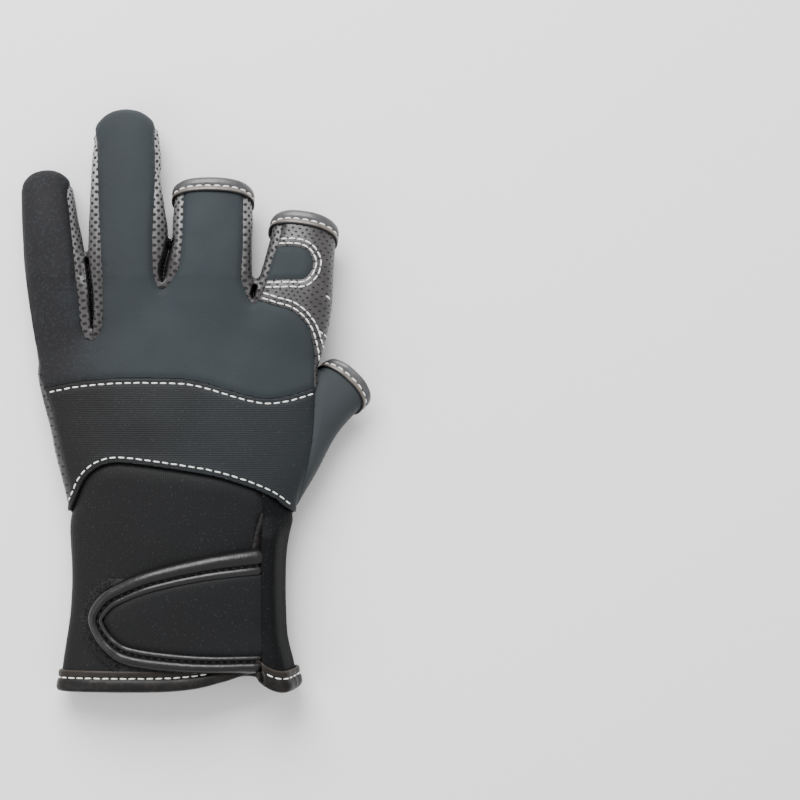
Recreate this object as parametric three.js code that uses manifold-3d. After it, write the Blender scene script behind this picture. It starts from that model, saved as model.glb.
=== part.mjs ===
import * as THREE from 'three';
import { mergeVertices } from 'three/addons/utils/BufferGeometryUtils.js';
import Module from 'manifold-3d';

// A left-hand fishing glove of neoprene and perforated leather, lying palm down.
// Three fingertips are cut open and bound, two are whole, and a strap closes the wrist.
// Millimetres: +X to the thumb side, +Y to the fingertips, +Z up out of the back.

const wasm = await Module();
wasm.setup();

// Driving sizes of the hand part
const palmWidth = 105.5;
const bodyLength = 152;
const palmHeight = 26;
const neopreneWall = 2.2;
const leatherWall = 1.4;
const seamGap = 0.3;

// Driving sizes of the bindings, the strap and the wrist
const bindingWall = 0.9;
const fingerBindingWidth = 4.7;
const thumbBindingWidth = 4.6;
const hemBindingWidth = 7;
const strapLength = 67;
const strapWidth = 49;
const strapWall = 2.4;
const strapBindingWidth = 7.5;
const strapBindingWall = 3.4;
const strapTuck = 5;
const loopPatchWall = 0.9;
const loopPatchMargin = 3;
const flapWidth = 10.5;
const flapRun = 5;
const slitTuck = 4;

// Driving sizes of the gathers that the wrist elastic draws in on the palm side
const gatherHeight = 1.1;
const gatherPitch = 13;
const elastic = { station: 0.155, spread: 0.075 };

// Fingers: root place as shares of the palm, the rest in millimetres and degrees
const fingers = {
  little: { rootX: -0.42, rootY: 0.83, rootHeight: 14, lean: -7.2, length: 77, curl: 19,
    rootWidth: 24.5, tipWidth: 19.5, thickness: 16.5, open: false },
  ring: { rootX: -0.201, rootY: 0.85, rootHeight: 15.8, lean: -0.3, length: 97, curl: 19,
    rootWidth: 34, tipWidth: 23.5, thickness: 17.5, open: false },
  middle: { rootX: 0.105, rootY: 0.87, rootHeight: 17.6, lean: 1.4, length: 60.5, curl: 25,
    rootWidth: 36.5, tipWidth: 29.6, thickness: 17.5, open: true },
  index: { rootX: 0.368, rootY: 0.83, rootHeight: 17.5, lean: 10, length: 54, curl: 26,
    rootWidth: 32.5, tipWidth: 24.5, thickness: 17.5, open: true },
};

// Along a finger: its width, as a share of the way from its tip width to its root width,
// and its thickness as a share of the full thickness, which starts inside the hand
const fingerTaper = [
  { along: 0, spread: 0.6, rise: 0.55 },
  { along: 0.2, spread: 0.92, rise: 0.92 },
  { along: 0.4, spread: 0.97, rise: 1 },
  { along: 0.6, spread: 0.8, rise: 1 },
  { along: 0.8, spread: 0.4, rise: 1 },
  { along: 1, spread: 0, rise: 1 },
];
// The round end of a whole fingertip, as a share of half its width
const tipBluntness = 0.8;
// How much further a cut-open mouth reaches on its back than on its palm side, per millimetre up
const mouthSlant = 0.22;
const thumbSlant = 0.25;

// Hand body from hem to knuckles: sides as shares of palmWidth, heights of palmHeight;
// the crests are the heights at which each side is widest, and the undercut is how far
// the thumb side tucks in under its crest, over the thumb
const bodyColumns = ['station', 'left', 'right', 'top', 'lift', 'leftCrest', 'rightCrest', 'undercut'];
const bodySections = [
  [0, -0.452, 0.436, 0.84, 0.075, 0.42, 0.44, 0],
  [0.07, -0.44, 0.42, 0.82, 0.07, 0.42, 0.44, 0],
  [0.13, -0.428, 0.399, 0.82, 0.06, 0.42, 0.44, 0],
  [0.2, -0.414, 0.392, 0.85, 0.05, 0.42, 0.44, 0],
  [0.28, -0.407, 0.39, 0.89, 0.02, 0.42, 0.45, 0],
  [0.37, -0.41, 0.397, 0.94, 0, 0.43, 0.46, 0],
  [0.46, -0.42, 0.428, 0.98, 0, 0.44, 0.5, 0],
  [0.55, -0.443, 0.482, 1.01, 0, 0.45, 0.56, 0.2],
  [0.64, -0.47, 0.5, 1.02, 0, 0.46, 0.62, 0.5],
  [0.73, -0.489, 0.501, 1.02, 0.01, 0.48, 0.7, 0.9],
  [0.81, -0.508, 0.503, 1.0, 0.05, 0.5, 0.76, 1],
  [0.89, -0.525, 0.512, 0.97, 0.13, 0.52, 0.76, 1],
  [0.95, -0.53, 0.515, 0.91, 0.2, 0.53, 0.7, 0.6],
  [1, -0.5, 0.5, 0.82, 0.3, 0.54, 0.6, 0],
].map((row) => Object.fromEntries(bodyColumns.map((name, index) => [name, row[index]])));

// The line where the fingers leave the hand, and how far the hem rises on the back
const knuckleLine = [
  { across: -0.6, along: 0.86 },
  { across: -0.333, along: 0.885 },
  { across: -0.2, along: 0.96 },
  { across: -0.07, along: 1.0 },
  { across: 0.1, along: 1.005 },
  { across: 0.262, along: 0.97 },
  { across: 0.6, along: 0.92 },
];
const hemRise = [
  { across: -0.6, along: 0 },
  { across: -0.085, along: 0 },
  { across: 0.055, along: 0.008 },
  { across: 0.166, along: 0.026 },
  { across: 0.27, along: 0.046 },
  { across: 0.6, along: 0.046 },
];

// Thumb from inside the heel to its open mouth: places as shares of the palm,
// the width and the height of the tube as shares of the mouth's
const thumbWidth = 21.4;
const thumbHeight = 18;
const thumbSections = [
  { station: 0, across: 0.275, along: 0.34, height: 0.4, heading: 84, tilt: 0, wide: 0.92, deep: 0.95 },
  { station: 0.25, across: 0.305, along: 0.46, height: 0.43, heading: 76, tilt: 3, wide: 1.1, deep: 1.08 },
  { station: 0.5, across: 0.37, along: 0.59, height: 0.45, heading: 63, tilt: 6, wide: 1.4, deep: 1.16 },
  { station: 0.75, across: 0.475, along: 0.7, height: 0.43, heading: 52, tilt: 12, wide: 1.22, deep: 1.08 },
  { station: 1, across: 0.608, along: 0.781, height: 0.4, heading: 46, tilt: 24, wide: 1, deep: 1 },
];

// Height of the seam between the back and the palm, from the little finger's side to the thumb
const sideSeam = [
  { along: -0.1, little: 0.2, middle: 0.3, index: 0.34 },
  { along: 0.42, little: 0.22, middle: 0.4, index: 0.36 },
  { along: 0.5, little: 0.62, middle: 0.5, index: 0.36 },
  { along: 0.72, little: 0.66, middle: 0.5, index: 0.34 },
  { along: 0.82, little: 0.58, middle: 0.52, index: 0.38 },
  { along: 0.95, little: 0.52, middle: 0.56, index: 0.46 },
  { along: 1.2, little: 0.47, middle: 0.52, index: 0.36 },
  { along: 1.45, little: 0.32, middle: 0.33, index: 0.3 },
  { along: 1.7, little: 0.3, middle: 0.3, index: 0.3 },
];

// Seams seen from above, as shares of palmWidth across and bodyLength along
const seams = {
  knuckles: [[-0.7, 0.768], [-0.529, 0.769], [-0.384, 0.786], [-0.24, 0.795], [-0.092, 0.796],
    [0.055, 0.79], [0.229, 0.756], [0.318, 0.744], [0.403, 0.751], [0.499, 0.772], [0.56, 0.79]],
  wrist: [[-0.7, 0.42], [-0.5, 0.425], [-0.418, 0.456], [-0.359, 0.533], [-0.314, 0.564],
    [-0.259, 0.579], [-0.181, 0.579], [0.026, 0.559], [0.14, 0.544], [0.259, 0.518],
    [0.347, 0.49], [0.4, 0.462], [0.5, 0.43], [0.7, 0.41]],
  indexSide: [[0.25, 0.985], [0.292, 1.005], [0.359, 0.99], [0.418, 0.967], [0.469, 0.931],
    [0.495, 0.879], [0.501, 0.831], [0.499, 0.74]],
  patch: [[0.33, 1.16], [0.37, 1.159], [0.433, 1.16], [0.484, 1.144], [0.512, 1.103],
    [0.499, 1.062], [0.462, 1.038], [0.403, 1.036], [0.333, 1.035], [0.29, 1.035]],
  thumbBack: [[0.56, 0.8], [0.514, 0.782], [0.499, 0.744], [0.488, 0.641], [0.468, 0.56],
    [0.438, 0.487], [0.4, 0.4]],
  thumbPalm: [[0.6, 0.725], [0.514, 0.713], [0.433, 0.708], [0.318, 0.677], [0.229, 0.636],
    [0.142, 0.575], [0.091, 0.495], [0.087, 0.423], [0.098, 0.342], [0.128, 0.262], [0.2, 0.215],
    [0.33, 0.22], [0.6, 0.25]],
  littleRing: [[-0.43, 1.42], [-0.425, 1.305], [-0.407, 1.218], [-0.399, 1.128], [-0.377, 0.972],
    [-0.362, 0.915], [-0.333, 0.897], [-0.299, 0.921], [-0.294, 1.031], [-0.307, 1.236],
    [-0.316, 1.385], [-0.325, 1.5]],
  ringMiddle: [[-0.108, 1.52], [-0.111, 1.441], [-0.1, 1.336], [-0.104, 1.236], [-0.107, 1.133],
    [-0.1, 1.062], [-0.067, 1.023], [-0.011, 1.072], [0.004, 1.133], [0.007, 1.236],
    [0.007, 1.4]],
  middleIndex: [[0.238, 1.4], [0.235, 1.133], [0.229, 1.051], [0.266, 0.987], [0.303, 1.015],
    [0.336, 1.097], [0.37, 1.174], [0.395, 1.35]],
};
const sideStripAcross = 0.23;

// The strap's outline, as shares of strapLength back from the flap and of strapWidth up
const strapOutline = [
  { back: 0, up: 1 },
  { back: 0.33, up: 0.93 },
  { back: 0.65, up: 0.824 },
  { back: 0.83, up: 0.72 },
  { back: 0.94, up: 0.616 },
  { back: 1, up: 0.456 },
  { back: 0.977, up: 0.304 },
  { back: 0.91, up: 0.168 },
  { back: 0.81, up: 0.072 },
  { back: 0.62, up: 0.024 },
  { back: 0.33, up: 0 },
  { back: 0, up: 0.01 },
];
const strapFoot = 0.041;

// The sliver of bound slit edge that shows between the flap and the strap
const slitSliver = [[0.277, 0.367], [0.307, 0.444], [0.329, 0.444], [0.338, 0.367]];

// Stations of the hand between which the flap comes down, from which the knuckle line bends
// the hand's end, and up to which the hem's rise is felt
const flapDown = [0.385, 0.45];
const knuckleFrom = 0.5;
const hemFade = 0.2;

// Resolution of the lofts, and room that the cutting solids reach past the glove
const backPoints = 12;
const palmPoints = 20;
const tubePoints = 12;
const tubeStep = 18;
const tipTurns = [30, 58, 84];
const thumbSteps = 7;
const seamSteps = 1.25;
const nearStation = 0.004;
const reach = 30;
const hemReach = 3;
const far = { across: 0.9, tips: 1.9, hem: -0.4, wrist: 0.52 };
const roundness = 2.35;
const palmRoundness = 2.6;
const edgeRoundness = 1.7;
const palmSag = 3;
const gatherFade = 0.12;
const radian = Math.PI / 180;

function interpolate(table, key, place, column) {
  let index = 0;
  while (index < table.length - 2 && table[index + 1][key] <= place) {
    index += 1;
  }
  const before = table[Math.max(index - 1, 0)];
  const from = table[index];
  const to = table[index + 1];
  const after = table[Math.min(index + 2, table.length - 1)];
  const span = to[key] - from[key];
  const share = Math.min(Math.max((place - from[key]) / span, 0), 1);
  const slopeFrom = (to[column] - before[column]) / (to[key] - before[key]) * span;
  const slopeTo = (after[column] - from[column]) / (after[key] - from[key]) * span;
  const squared = share * share;
  const cubed = squared * share;
  return from[column] * (2 * cubed - 3 * squared + 1) + slopeFrom * (cubed - 2 * squared + share)
    + to[column] * (3 * squared - 2 * cubed) + slopeTo * (cubed - squared);
}

function power(value, exponent) {
  return Math.sign(value) * Math.abs(value) ** exponent;
}

function smooth(from, to, value) {
  return THREE.MathUtils.smoothstep(value, from, to);
}

// One solid from a closed geometry whose shared vertices are merged
function solidOf(geometry) {
  geometry.deleteAttribute('normal');
  geometry.deleteAttribute('uv');
  const merged = mergeVertices(geometry, 1e-4);
  const solid = new wasm.Manifold(new wasm.Mesh({
    numProp: 3,
    vertProperties: new Float32Array(merged.attributes.position.array),
    triVerts: new Uint32Array(merged.index.array),
  }));
  return solid;
}

// A closed loft through rings of points that run anticlockwise seen from its far end
function loft(rings) {
  const around = rings[0].length;
  const points = rings.flat();
  const faces = [];
  for (let ring = 0; ring < rings.length - 1; ring += 1) {
    for (let point = 0; point < around; point += 1) {
      const next = (point + 1) % around;
      const near = ring * around;
      const far = near + around;
      faces.push(near + point, near + next, far + next, near + point, far + next, far + point);
    }
  }
  const centreOf = (ring) => ring
    .reduce((sum, point) => sum.add(point), new THREE.Vector3())
    .divideScalar(ring.length);
  const first = points.push(centreOf(rings[0])) - 1;
  const last = points.push(centreOf(rings[rings.length - 1])) - 1;
  const lastRing = (rings.length - 1) * around;
  for (let point = 0; point < around; point += 1) {
    const next = (point + 1) % around;
    faces.push(first, next, point, last, lastRing + point, lastRing + next);
  }
  const geometry = new THREE.BufferGeometry().setFromPoints(points);
  geometry.setIndex(faces);
  return solidOf(geometry);
}

// A closed ring swept through sections of one closed profile
function ring(sections) {
  const around = sections[0].length;
  const faces = [];
  sections.forEach((section, index) => {
    const near = index * around;
    const far = ((index + 1) % sections.length) * around;
    for (let point = 0; point < around; point += 1) {
      const next = (point + 1) % around;
      faces.push(near + point, near + next, far + next, near + point, far + next, far + point);
    }
  });
  const geometry = new THREE.BufferGeometry().setFromPoints(sections.flat());
  geometry.setIndex(faces);
  return solidOf(geometry);
}

// How far the elastic's gathers push the palm side in or out at one place
function gatherAt(across, station) {
  const nearElastic = Math.exp(-(((station - elastic.station) / elastic.spread) ** 2));
  return gatherHeight * nearElastic * Math.cos((2 * Math.PI * across) / gatherPitch);
}

// The flap rides up over the strap, and comes down to the hand at the wrist's edge
const strapRise = seamGap + loopPatchWall + seamGap;
const flapLift = strapRise + strapWall + seamGap + neopreneWall;
function flapRise(across, station) {
  const edge = interpolate(bodySections, 'station', station, 'right') * palmWidth;
  return flapLift * smooth(0, flapRun, edge - across) * (1 - smooth(...flapDown, station));
}

// A point of the hand's skin, pushed out by grow; the flap's skin rides above the hand's
function bodyPoint(angle, station, grow, flap = false) {
  const column = (name) => interpolate(bodySections, 'station', station, name);
  const left = column('left') * palmWidth;
  const right = column('right') * palmWidth;
  const top = column('top') * palmHeight;
  const lift = column('lift') * palmHeight;
  const cosine = Math.cos(angle);
  const sine = Math.sin(angle);
  const side = (cosine + 1) / 2;
  const crest = THREE.MathUtils.lerp(column('leftCrest'), column('rightCrest'), side) * palmHeight;
  const palmShape = THREE.MathUtils.lerp(palmRoundness, edgeRoundness, side * side * column('undercut'));
  const shape = 2 / (sine >= 0 ? roundness : palmShape);
  const skin = (left + right) / 2 + ((right - left) / 2) * power(cosine, shape);
  const x = skin + grow * power(cosine, shape);
  let z = crest + (top - crest + grow) * power(sine, shape);
  if (sine < 0) {
    z = crest + (crest - lift + palmSag + grow) * power(sine, shape);
    const gather = lift > 0 ? gatherAt(x, station) * smooth(0, gatherFade, -sine) : 0;
    z = Math.max(z, lift - grow + gather * smooth(0, gatherHeight / 2, lift));
  }
  if (flap && sine > 0) {
    z += flapRise(skin, station);
  }
  const across = skin / palmWidth;
  const knuckle = interpolate(knuckleLine, 'across', across, 'along');
  const bent = Math.max(station - knuckleFrom, 0) / (1 - knuckleFrom);
  let along = station + bent * (knuckle - 1);
  if (station < hemFade && sine > 0 && !flap) {
    const rise = interpolate(hemRise, 'across', across, 'along');
    along += rise * (1 - station / hemFade) * smooth(0, 0.5, sine);
  }
  return new THREE.Vector3(x, along * bodyLength, z);
}

// Angles round the hand: even round the back, and even steps across the palm for its gathers
const bodyAngles = [];
for (let step = 0; step < backPoints; step += 1) {
  bodyAngles.push((Math.PI * step) / backPoints);
}
for (let step = 0; step < palmPoints; step += 1) {
  bodyAngles.push(-Math.acos(THREE.MathUtils.lerp(-1, 1, step / palmPoints)));
}

function bodyLoft(grow, from = 0, to = 1, flap = false) {
  const stations = [from];
  for (const section of bodySections) {
    if (section.station > from + nearStation && section.station < to - nearStation) {
      stations.push(section.station);
    }
  }
  stations.push(to);
  const rings = stations.map((station) => bodyAngles
    .map((angle) => bodyPoint(angle, station, grow, flap)).reverse());
  return loft(rings);
}

// A point of a finger's skin: the finger curls down more and more towards its tip
function fingerPoint(finger, angle, distance, grow) {
  const share = Math.max(distance / finger.length, 0);
  const slope = Math.tan(finger.curl * radian);
  const pitch = Math.atan(slope * share ** 3);
  const drop = (slope * finger.length * share ** 4) / 4;
  const lean = finger.lean * radian;
  const spread = interpolate(fingerTaper, 'along', Math.min(share, 1), 'spread');
  const rise = interpolate(fingerTaper, 'along', Math.min(share, 1), 'rise');
  const tip = (finger.tipWidth / 2) * tipBluntness;
  let halfWidth = (finger.tipWidth + spread * (finger.rootWidth - finger.tipWidth)) / 2 + grow;
  let halfHeight = (rise * finger.thickness) / 2 + grow;
  const past = distance - (finger.length - tip);
  if (!finger.open && past > 0) {
    const round = Math.sqrt(Math.max(1 - (past / (tip + grow)) ** 2, 0));
    halfWidth *= round;
    halfHeight *= round;
  }
  const sideways = halfWidth * power(Math.cos(angle), 2 / roundness);
  const upward = halfHeight * power(Math.sin(angle), 2 / roundness);
  const slant = finger.open ? mouthSlant * share ** 3 : 0;
  const forward = distance + upward * (Math.sin(pitch) + slant);
  return new THREE.Vector3(
    finger.rootX * palmWidth + forward * Math.sin(lean) + sideways * Math.cos(lean),
    finger.rootY * bodyLength + forward * Math.cos(lean) - sideways * Math.sin(lean),
    Math.max(finger.rootHeight - drop + upward * Math.cos(pitch), Math.max(-grow, 0)),
  );
}

function evenSteps(from, to, spacing) {
  const steps = Math.max(Math.round((to - from) / spacing), 2);
  return Array.from({ length: steps + 1 }, (_, step) => from + ((to - from) * step) / steps);
}

function fingerLoft(finger, grow, from, to) {
  const even = finger.open ? finger.length - fingerBindingWidth : to;
  const distances = evenSteps(from, even, tubeStep);
  if (finger.open) {
    distances.push(finger.length);
    if (to > finger.length) {
      distances.push(to);
    }
  }
  if (!finger.open) {
    const tip = (finger.tipWidth / 2) * tipBluntness;
    for (const turn of tipTurns) {
      distances.push(finger.length - tip + (tip + grow) * Math.sin(turn * radian));
    }
  }
  return loft(distances.map((distance) => tubeRing(
    (angle) => fingerPoint(finger, angle, distance, grow))));
}

function tubeRing(pointAt) {
  const ring = [];
  for (let step = 0; step < tubePoints; step += 1) {
    ring.push(pointAt((-2 * Math.PI * step) / tubePoints));
  }
  return ring;
}

// A point of the thumb's skin; stations past 1 carry on straight out of its mouth
const thumbReach = Math.hypot(
  (thumbSections.at(-1).across - thumbSections[0].across) * palmWidth,
  (thumbSections.at(-1).along - thumbSections[0].along) * bodyLength,
);
function thumbPoint(angle, station, grow) {
  const column = (name) => interpolate(thumbSections, 'station', Math.min(station, 1), name);
  const heading = column('heading') * radian;
  const tilt = column('tilt') * radian;
  const forward = new THREE.Vector3(
    Math.cos(heading) * Math.cos(tilt),
    Math.sin(heading) * Math.cos(tilt),
    -Math.sin(tilt),
  );
  const side = new THREE.Vector3(Math.sin(heading), -Math.cos(heading), 0);
  const up = new THREE.Vector3().crossVectors(side, forward);
  const centre = new THREE.Vector3(
    column('across') * palmWidth,
    column('along') * bodyLength,
    column('height') * palmHeight,
  );
  centre.addScaledVector(forward, Math.max(station - 1, 0) * thumbReach);
  const sideways = ((thumbWidth * column('wide')) / 2 + grow) * power(Math.cos(angle), 2 / roundness);
  const upward = ((thumbHeight * column('deep')) / 2 + grow) * power(Math.sin(angle), 2 / roundness);
  centre.addScaledVector(side, sideways);
  centre.addScaledVector(up, upward);
  centre.addScaledVector(forward, upward * thumbSlant * Math.min(station, 1) ** 3);
  centre.z = Math.max(centre.z, Math.max(-grow, 0));
  return centre;
}

function thumbLoft(grow, to) {
  const stations = [...evenSteps(0, 1 - thumbBindingWidth / thumbReach, 1 / thumbSteps), 1];
  if (to > 1) {
    stations.push(to);
  }
  return loft(stations.map((station) => tubeRing((angle) => thumbPoint(angle, station, grow))));
}

// Cutting solids: prisms over outlines seen from above, and curtains along seams
function place([across, along]) {
  return new THREE.Vector2(across * palmWidth, along * bodyLength);
}

function prism(points) {
  const geometry = new THREE.ExtrudeGeometry(new THREE.Shape(points), {
    depth: palmHeight + 2 * reach,
    bevelEnabled: false,
  });
  return solidOf(geometry.translate(0, 0, -reach));
}

function curve(seam) {
  return new THREE.SplineCurve(seam.map(place)).getPoints(Math.round(seam.length * seamSteps));
}

function offset(points, distance, closed = false) {
  return points.map((point, index) => {
    const count = points.length;
    const before = points[closed ? (index + count - 1) % count : Math.max(index - 1, 0)];
    const after = points[closed ? (index + 1) % count : Math.min(index + 1, count - 1)];
    const along = after.clone().sub(before).normalize();
    return new THREE.Vector2(point.x - along.y * distance, point.y + along.x * distance);
  });
}

function curtain(points) {
  return prism([...offset(points, seamGap / 2), ...offset(points, -seamGap / 2).reverse()]);
}

// The surface of the side seam, and the halves of space over and under it
function seamHeight(x, y) {
  const column = (name) => interpolate(sideSeam, 'along', y / bodyLength, name) * palmHeight;
  const across = x / palmWidth;
  return across < 0
    ? THREE.MathUtils.lerp(column('middle'), column('little'), smooth(0, 0.45, -across))
    : THREE.MathUtils.lerp(column('middle'), column('index'), smooth(0, 0.45, across));
}

function half(upper) {
  const columns = 8;
  const rows = 14;
  const left = -palmWidth / 2 - reach;
  const bottom = -reach;
  const width = palmWidth + 3 * reach;
  const length = bodyLength * 1.5 + 2 * reach;
  const shift = upper ? seamGap / 2 : -seamGap / 2;
  const end = upper ? palmHeight + reach : -reach;
  const rings = [];
  for (let row = 0; row <= rows; row += 1) {
    const y = bottom + (length * row) / rows;
    const ring = [];
    for (let column = 0; column <= columns; column += 1) {
      const x = left + (width * column) / columns;
      ring.push(new THREE.Vector3(x, y, seamHeight(x, y) + shift));
    }
    for (let column = columns; column >= 0; column -= 1) {
      ring.push(new THREE.Vector3(left + (width * column) / columns, y, end));
    }
    rings.push(upper ? ring.reverse() : ring);
  }
  return loft(rings);
}

// The walls run past the hem at first, and a ring trims them square to it
function hemTrim(flap) {
  const past = -2 * hemReach;
  const profile = [[0, hemReach], [0, past], [past, past], [past, hemReach]];
  return ring(bodyAngles.map((angle) => profile
    .map(([inward, grow]) => bodyPoint(angle, inward / bodyLength, grow, flap))));
}

// The glove's outside and hollow: the hand, the four fingers and the thumb as one form
const fingerList = Object.values(fingers);
function handOf(grow) {
  return fingerList
    .map((finger) => fingerLoft(finger, grow, 0, finger.open
      ? finger.length + (grow < 0 ? reach / 2 : 0)
      : finger.length - (finger.tipWidth / 2) * tipBluntness))
    .reduce((sum, solid) => sum.add(solid), bodyLoft(grow, (grow < 0 ? -reach : -hemReach) / bodyLength));
}
function formOf(grow) {
  return handOf(grow).add(thumbLoft(grow, grow < 0 ? 1 + reach / (2 * thumbReach) : 1));
}

const outside = formOf(0);
const neopreneShell = outside.subtract(formOf(-neopreneWall)).subtract(hemTrim(false));
const leatherShell = outside.subtract(formOf(-leatherWall)).subtract(hemTrim(false));
const upperHalf = half(true);
const lowerHalf = half(false);

// Regions seen from above
const upTo = (seam, end) => prism([
  ...curve(seam),
  place([far.across, end]),
  place([-far.across, end]),
]);
const above = (seam) => upTo(seam, far.tips);
const below = (seam) => upTo(seam, far.hem);
const webs = {
  little_ring: prism(curve(seams.littleRing)),
  ring_middle: prism(curve(seams.ringMiddle)),
  middle_index: prism(curve(seams.middleIndex)),
};
const webCurtains = ['littleRing', 'ringMiddle', 'middleIndex']
  .map((name) => curtain(curve(seams[name])))
  .reduce((sum, solid) => sum.add(solid));
const allWebs = Object.values(webs).reduce((sum, solid) => sum.add(solid));
const indexZone = prism([
  ...curve(seams.indexSide),
  place([far.across, seams.indexSide.at(-1)[1]]),
  place([far.across, far.tips]),
  place([seams.indexSide[0][0], far.tips]),
]);
const patchZone = prism(curve(seams.patch));
const thumbBackZone = prism([
  ...curve(seams.thumbBack),
  place([far.across, seams.thumbBack.at(-1)[1]]),
  place([far.across, seams.thumbBack[0][1]]),
])
  .intersect(upperHalf)
  .intersect(above(seams.wrist));
const thumbPalmZone = prism(curve(seams.thumbPalm)).intersect(lowerHalf);
const waist = bodySections[4];
const slitX = waist.right * palmWidth - flapWidth;
function wristBeyond(x) {
  const hem = place([far.across, far.hem]);
  const top = place([far.across, far.wrist]);
  return prism([new THREE.Vector2(x, hem.y), hem, top, new THREE.Vector2(x, top.y)]);
}

// The hand without the thumb, and the thumb without the hand, a seam's gap apart
const thumbZones = thumbBackZone.add(thumbPalmZone);
const handZone = handOf(0).subtract(thumbZones);
const thumbClearance = handOf(seamGap).subtract(thumbZones);
const palmCurtains = curtain(curve(seams.thumbPalm)).intersect(lowerHalf);
const backCurtains = ['knuckles', 'wrist', 'indexSide', 'patch', 'thumbBack']
  .map((name) => curtain(curve(seams[name])))
  .reduce((sum, solid) => sum.add(solid));
const handCut = (shell) => shell.intersect(handZone).subtract(webCurtains).subtract(allWebs);
const neopreneBack = handCut(neopreneShell).intersect(upperHalf).subtract(backCurtains);
const leatherBack = handCut(leatherShell).intersect(upperHalf).subtract(backCurtains);
const leatherPalm = handCut(leatherShell).intersect(lowerHalf).subtract(palmCurtains);
const neoprenePalm = handCut(neopreneShell).intersect(lowerHalf).subtract(palmCurtains);
const thumbShell = (shell) => shell.subtract(thumbClearance)
  .subtract(curtain(curve(seams.thumbBack)).intersect(upperHalf))
  .subtract(palmCurtains);

const group = new THREE.Group();
const finishes = {
  backNeoprene: { color: 0x3c4246, roughness: 0.85, metalness: 0 },
  ribNeoprene: { color: 0x1d1f21, roughness: 0.75, metalness: 0 },
  wristNeoprene: { color: 0x17181a, roughness: 0.9, metalness: 0 },
  leather: { color: 0x4a4b4d, roughness: 0.6, metalness: 0 },
  binding: { color: 0x161413, roughness: 0.35, metalness: 0 },
  loop: { color: 0x111213, roughness: 1, metalness: 0 },
};

function addPiece(name, solid, finish) {
  const largest = solid.decompose().reduce((best, piece) => (piece.volume() > best.volume() ? piece : best));
  const mesh = largest.getMesh();
  const geometry = new THREE.BufferGeometry();
  geometry.setAttribute('position', new THREE.BufferAttribute(new Float32Array(mesh.vertProperties), 3));
  geometry.setIndex(new THREE.BufferAttribute(new Uint32Array(mesh.triVerts), 1));
  geometry.computeVertexNormals();
  const node = new THREE.Mesh(geometry, new THREE.MeshStandardMaterial(finishes[finish]));
  node.name = name;
  group.add(node);
}

// Panels of the back
addPiece('back_panel', neopreneBack.intersect(above(seams.knuckles)).subtract(indexZone), 'backNeoprene');
addPiece('index_wrap', leatherBack.intersect(above(seams.knuckles)).intersect(indexZone)
  .subtract(patchZone), 'leather');
addPiece('index_patch', neopreneBack.intersect(indexZone).intersect(patchZone), 'backNeoprene');
const belowKnuckles = neopreneBack.intersect(below(seams.knuckles));
addPiece('mid_panel', belowKnuckles.intersect(above(seams.wrist)), 'ribNeoprene');
const wristBack = belowKnuckles.intersect(below(seams.wrist));
// The strips between the fingers, the full height of each finger's side
const webShell = neopreneShell.intersect(handZone).subtract(webCurtains);
for (const [name, zone] of Object.entries(webs)) {
  addPiece(`web_${name}`, webShell.intersect(zone), 'leather');
}

// The palm, with the gathered strip at the thumb side of its wrist
const stripCurtain = curtain([place([sideStripAcross, far.hem]), place([sideStripAcross, far.wrist])]);
const stripZone = wristBeyond(sideStripAcross * palmWidth);
addPiece('palm_panel', leatherPalm.subtract(stripCurtain).subtract(stripZone), 'leather');
addPiece('wrist_side_strip', neoprenePalm.subtract(stripCurtain).intersect(stripZone), 'wristNeoprene');

// The two halves of the thumb
addPiece('thumb_back', thumbShell(neopreneShell).intersect(upperHalf), 'backNeoprene');
addPiece('thumb_palm', thumbShell(leatherShell).intersect(lowerHalf), 'leather');

// Bindings: a channel folded over an edge, clear of the wall inside it by the seam's gap;
// its profile is read as distances in from the edge and outwards from the wall's skin
const clearOut = seamGap + bindingWall;
const clearIn = -neopreneWall - seamGap;
const channel = (width) => [
  [width, clearOut],
  [width, seamGap],
  [-seamGap, seamGap],
  [-seamGap, clearIn],
  [width, clearIn],
  [width, clearIn - bindingWall],
  [-clearOut, clearIn - bindingWall],
  [-clearOut, clearOut],
];
const tubeAngles = Array.from({ length: tubePoints }, (_, step) => (-2 * Math.PI * step) / tubePoints);
function binding(angles, width, pointAt) {
  return ring(angles.map((angle) => channel(width).map(([inward, grow]) => pointAt(angle, inward, grow))));
}
const fingerBinding = (finger) => binding(tubeAngles, fingerBindingWidth, (angle, inward, grow) => (
  fingerPoint(finger, angle, finger.length - inward, grow)));
addPiece('middle_binding', fingerBinding(fingers.middle), 'binding');
addPiece('index_binding', fingerBinding(fingers.index), 'binding');
// The wrist's bindings: one round the hem up to the slit, one on the flap's own hem
const hemBinding = (flap) => binding(bodyAngles, hemBindingWidth, (angle, inward, grow) => (
  bodyPoint(angle, inward / bodyLength, grow, flap)));
const flapZone = wristBeyond(slitX);
const slitZone = wristBeyond(slitX + slitTuck);
function layer(low, high, flap = false) {
  return bodyLoft(high, -hemReach / bodyLength, far.wrist, flap).subtract(bodyLoft(low, far.hem, 1, flap));
}
const flapRoom = layer(-neopreneWall - seamGap, seamGap, true).intersect(wristBeyond(slitX - seamGap));
addPiece('cuff_binding', hemBinding(false).subtract(slitZone.intersect(upperHalf)), 'binding');
addPiece('wrist_panel', wristBack.subtract(slitZone).subtract(flapRoom), 'wristNeoprene');
addPiece('flap_binding', hemBinding(true).intersect(flapZone).intersect(upperHalf), 'binding');
addPiece('wrist_flap', layer(-neopreneWall, 0, true)
  .subtract(hemTrim(true))
  .intersect(flapZone)
  .intersect(upperHalf)
  .intersect(below(seams.wrist))
  .subtract(curtain(curve(seams.wrist))), 'wristNeoprene');

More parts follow.
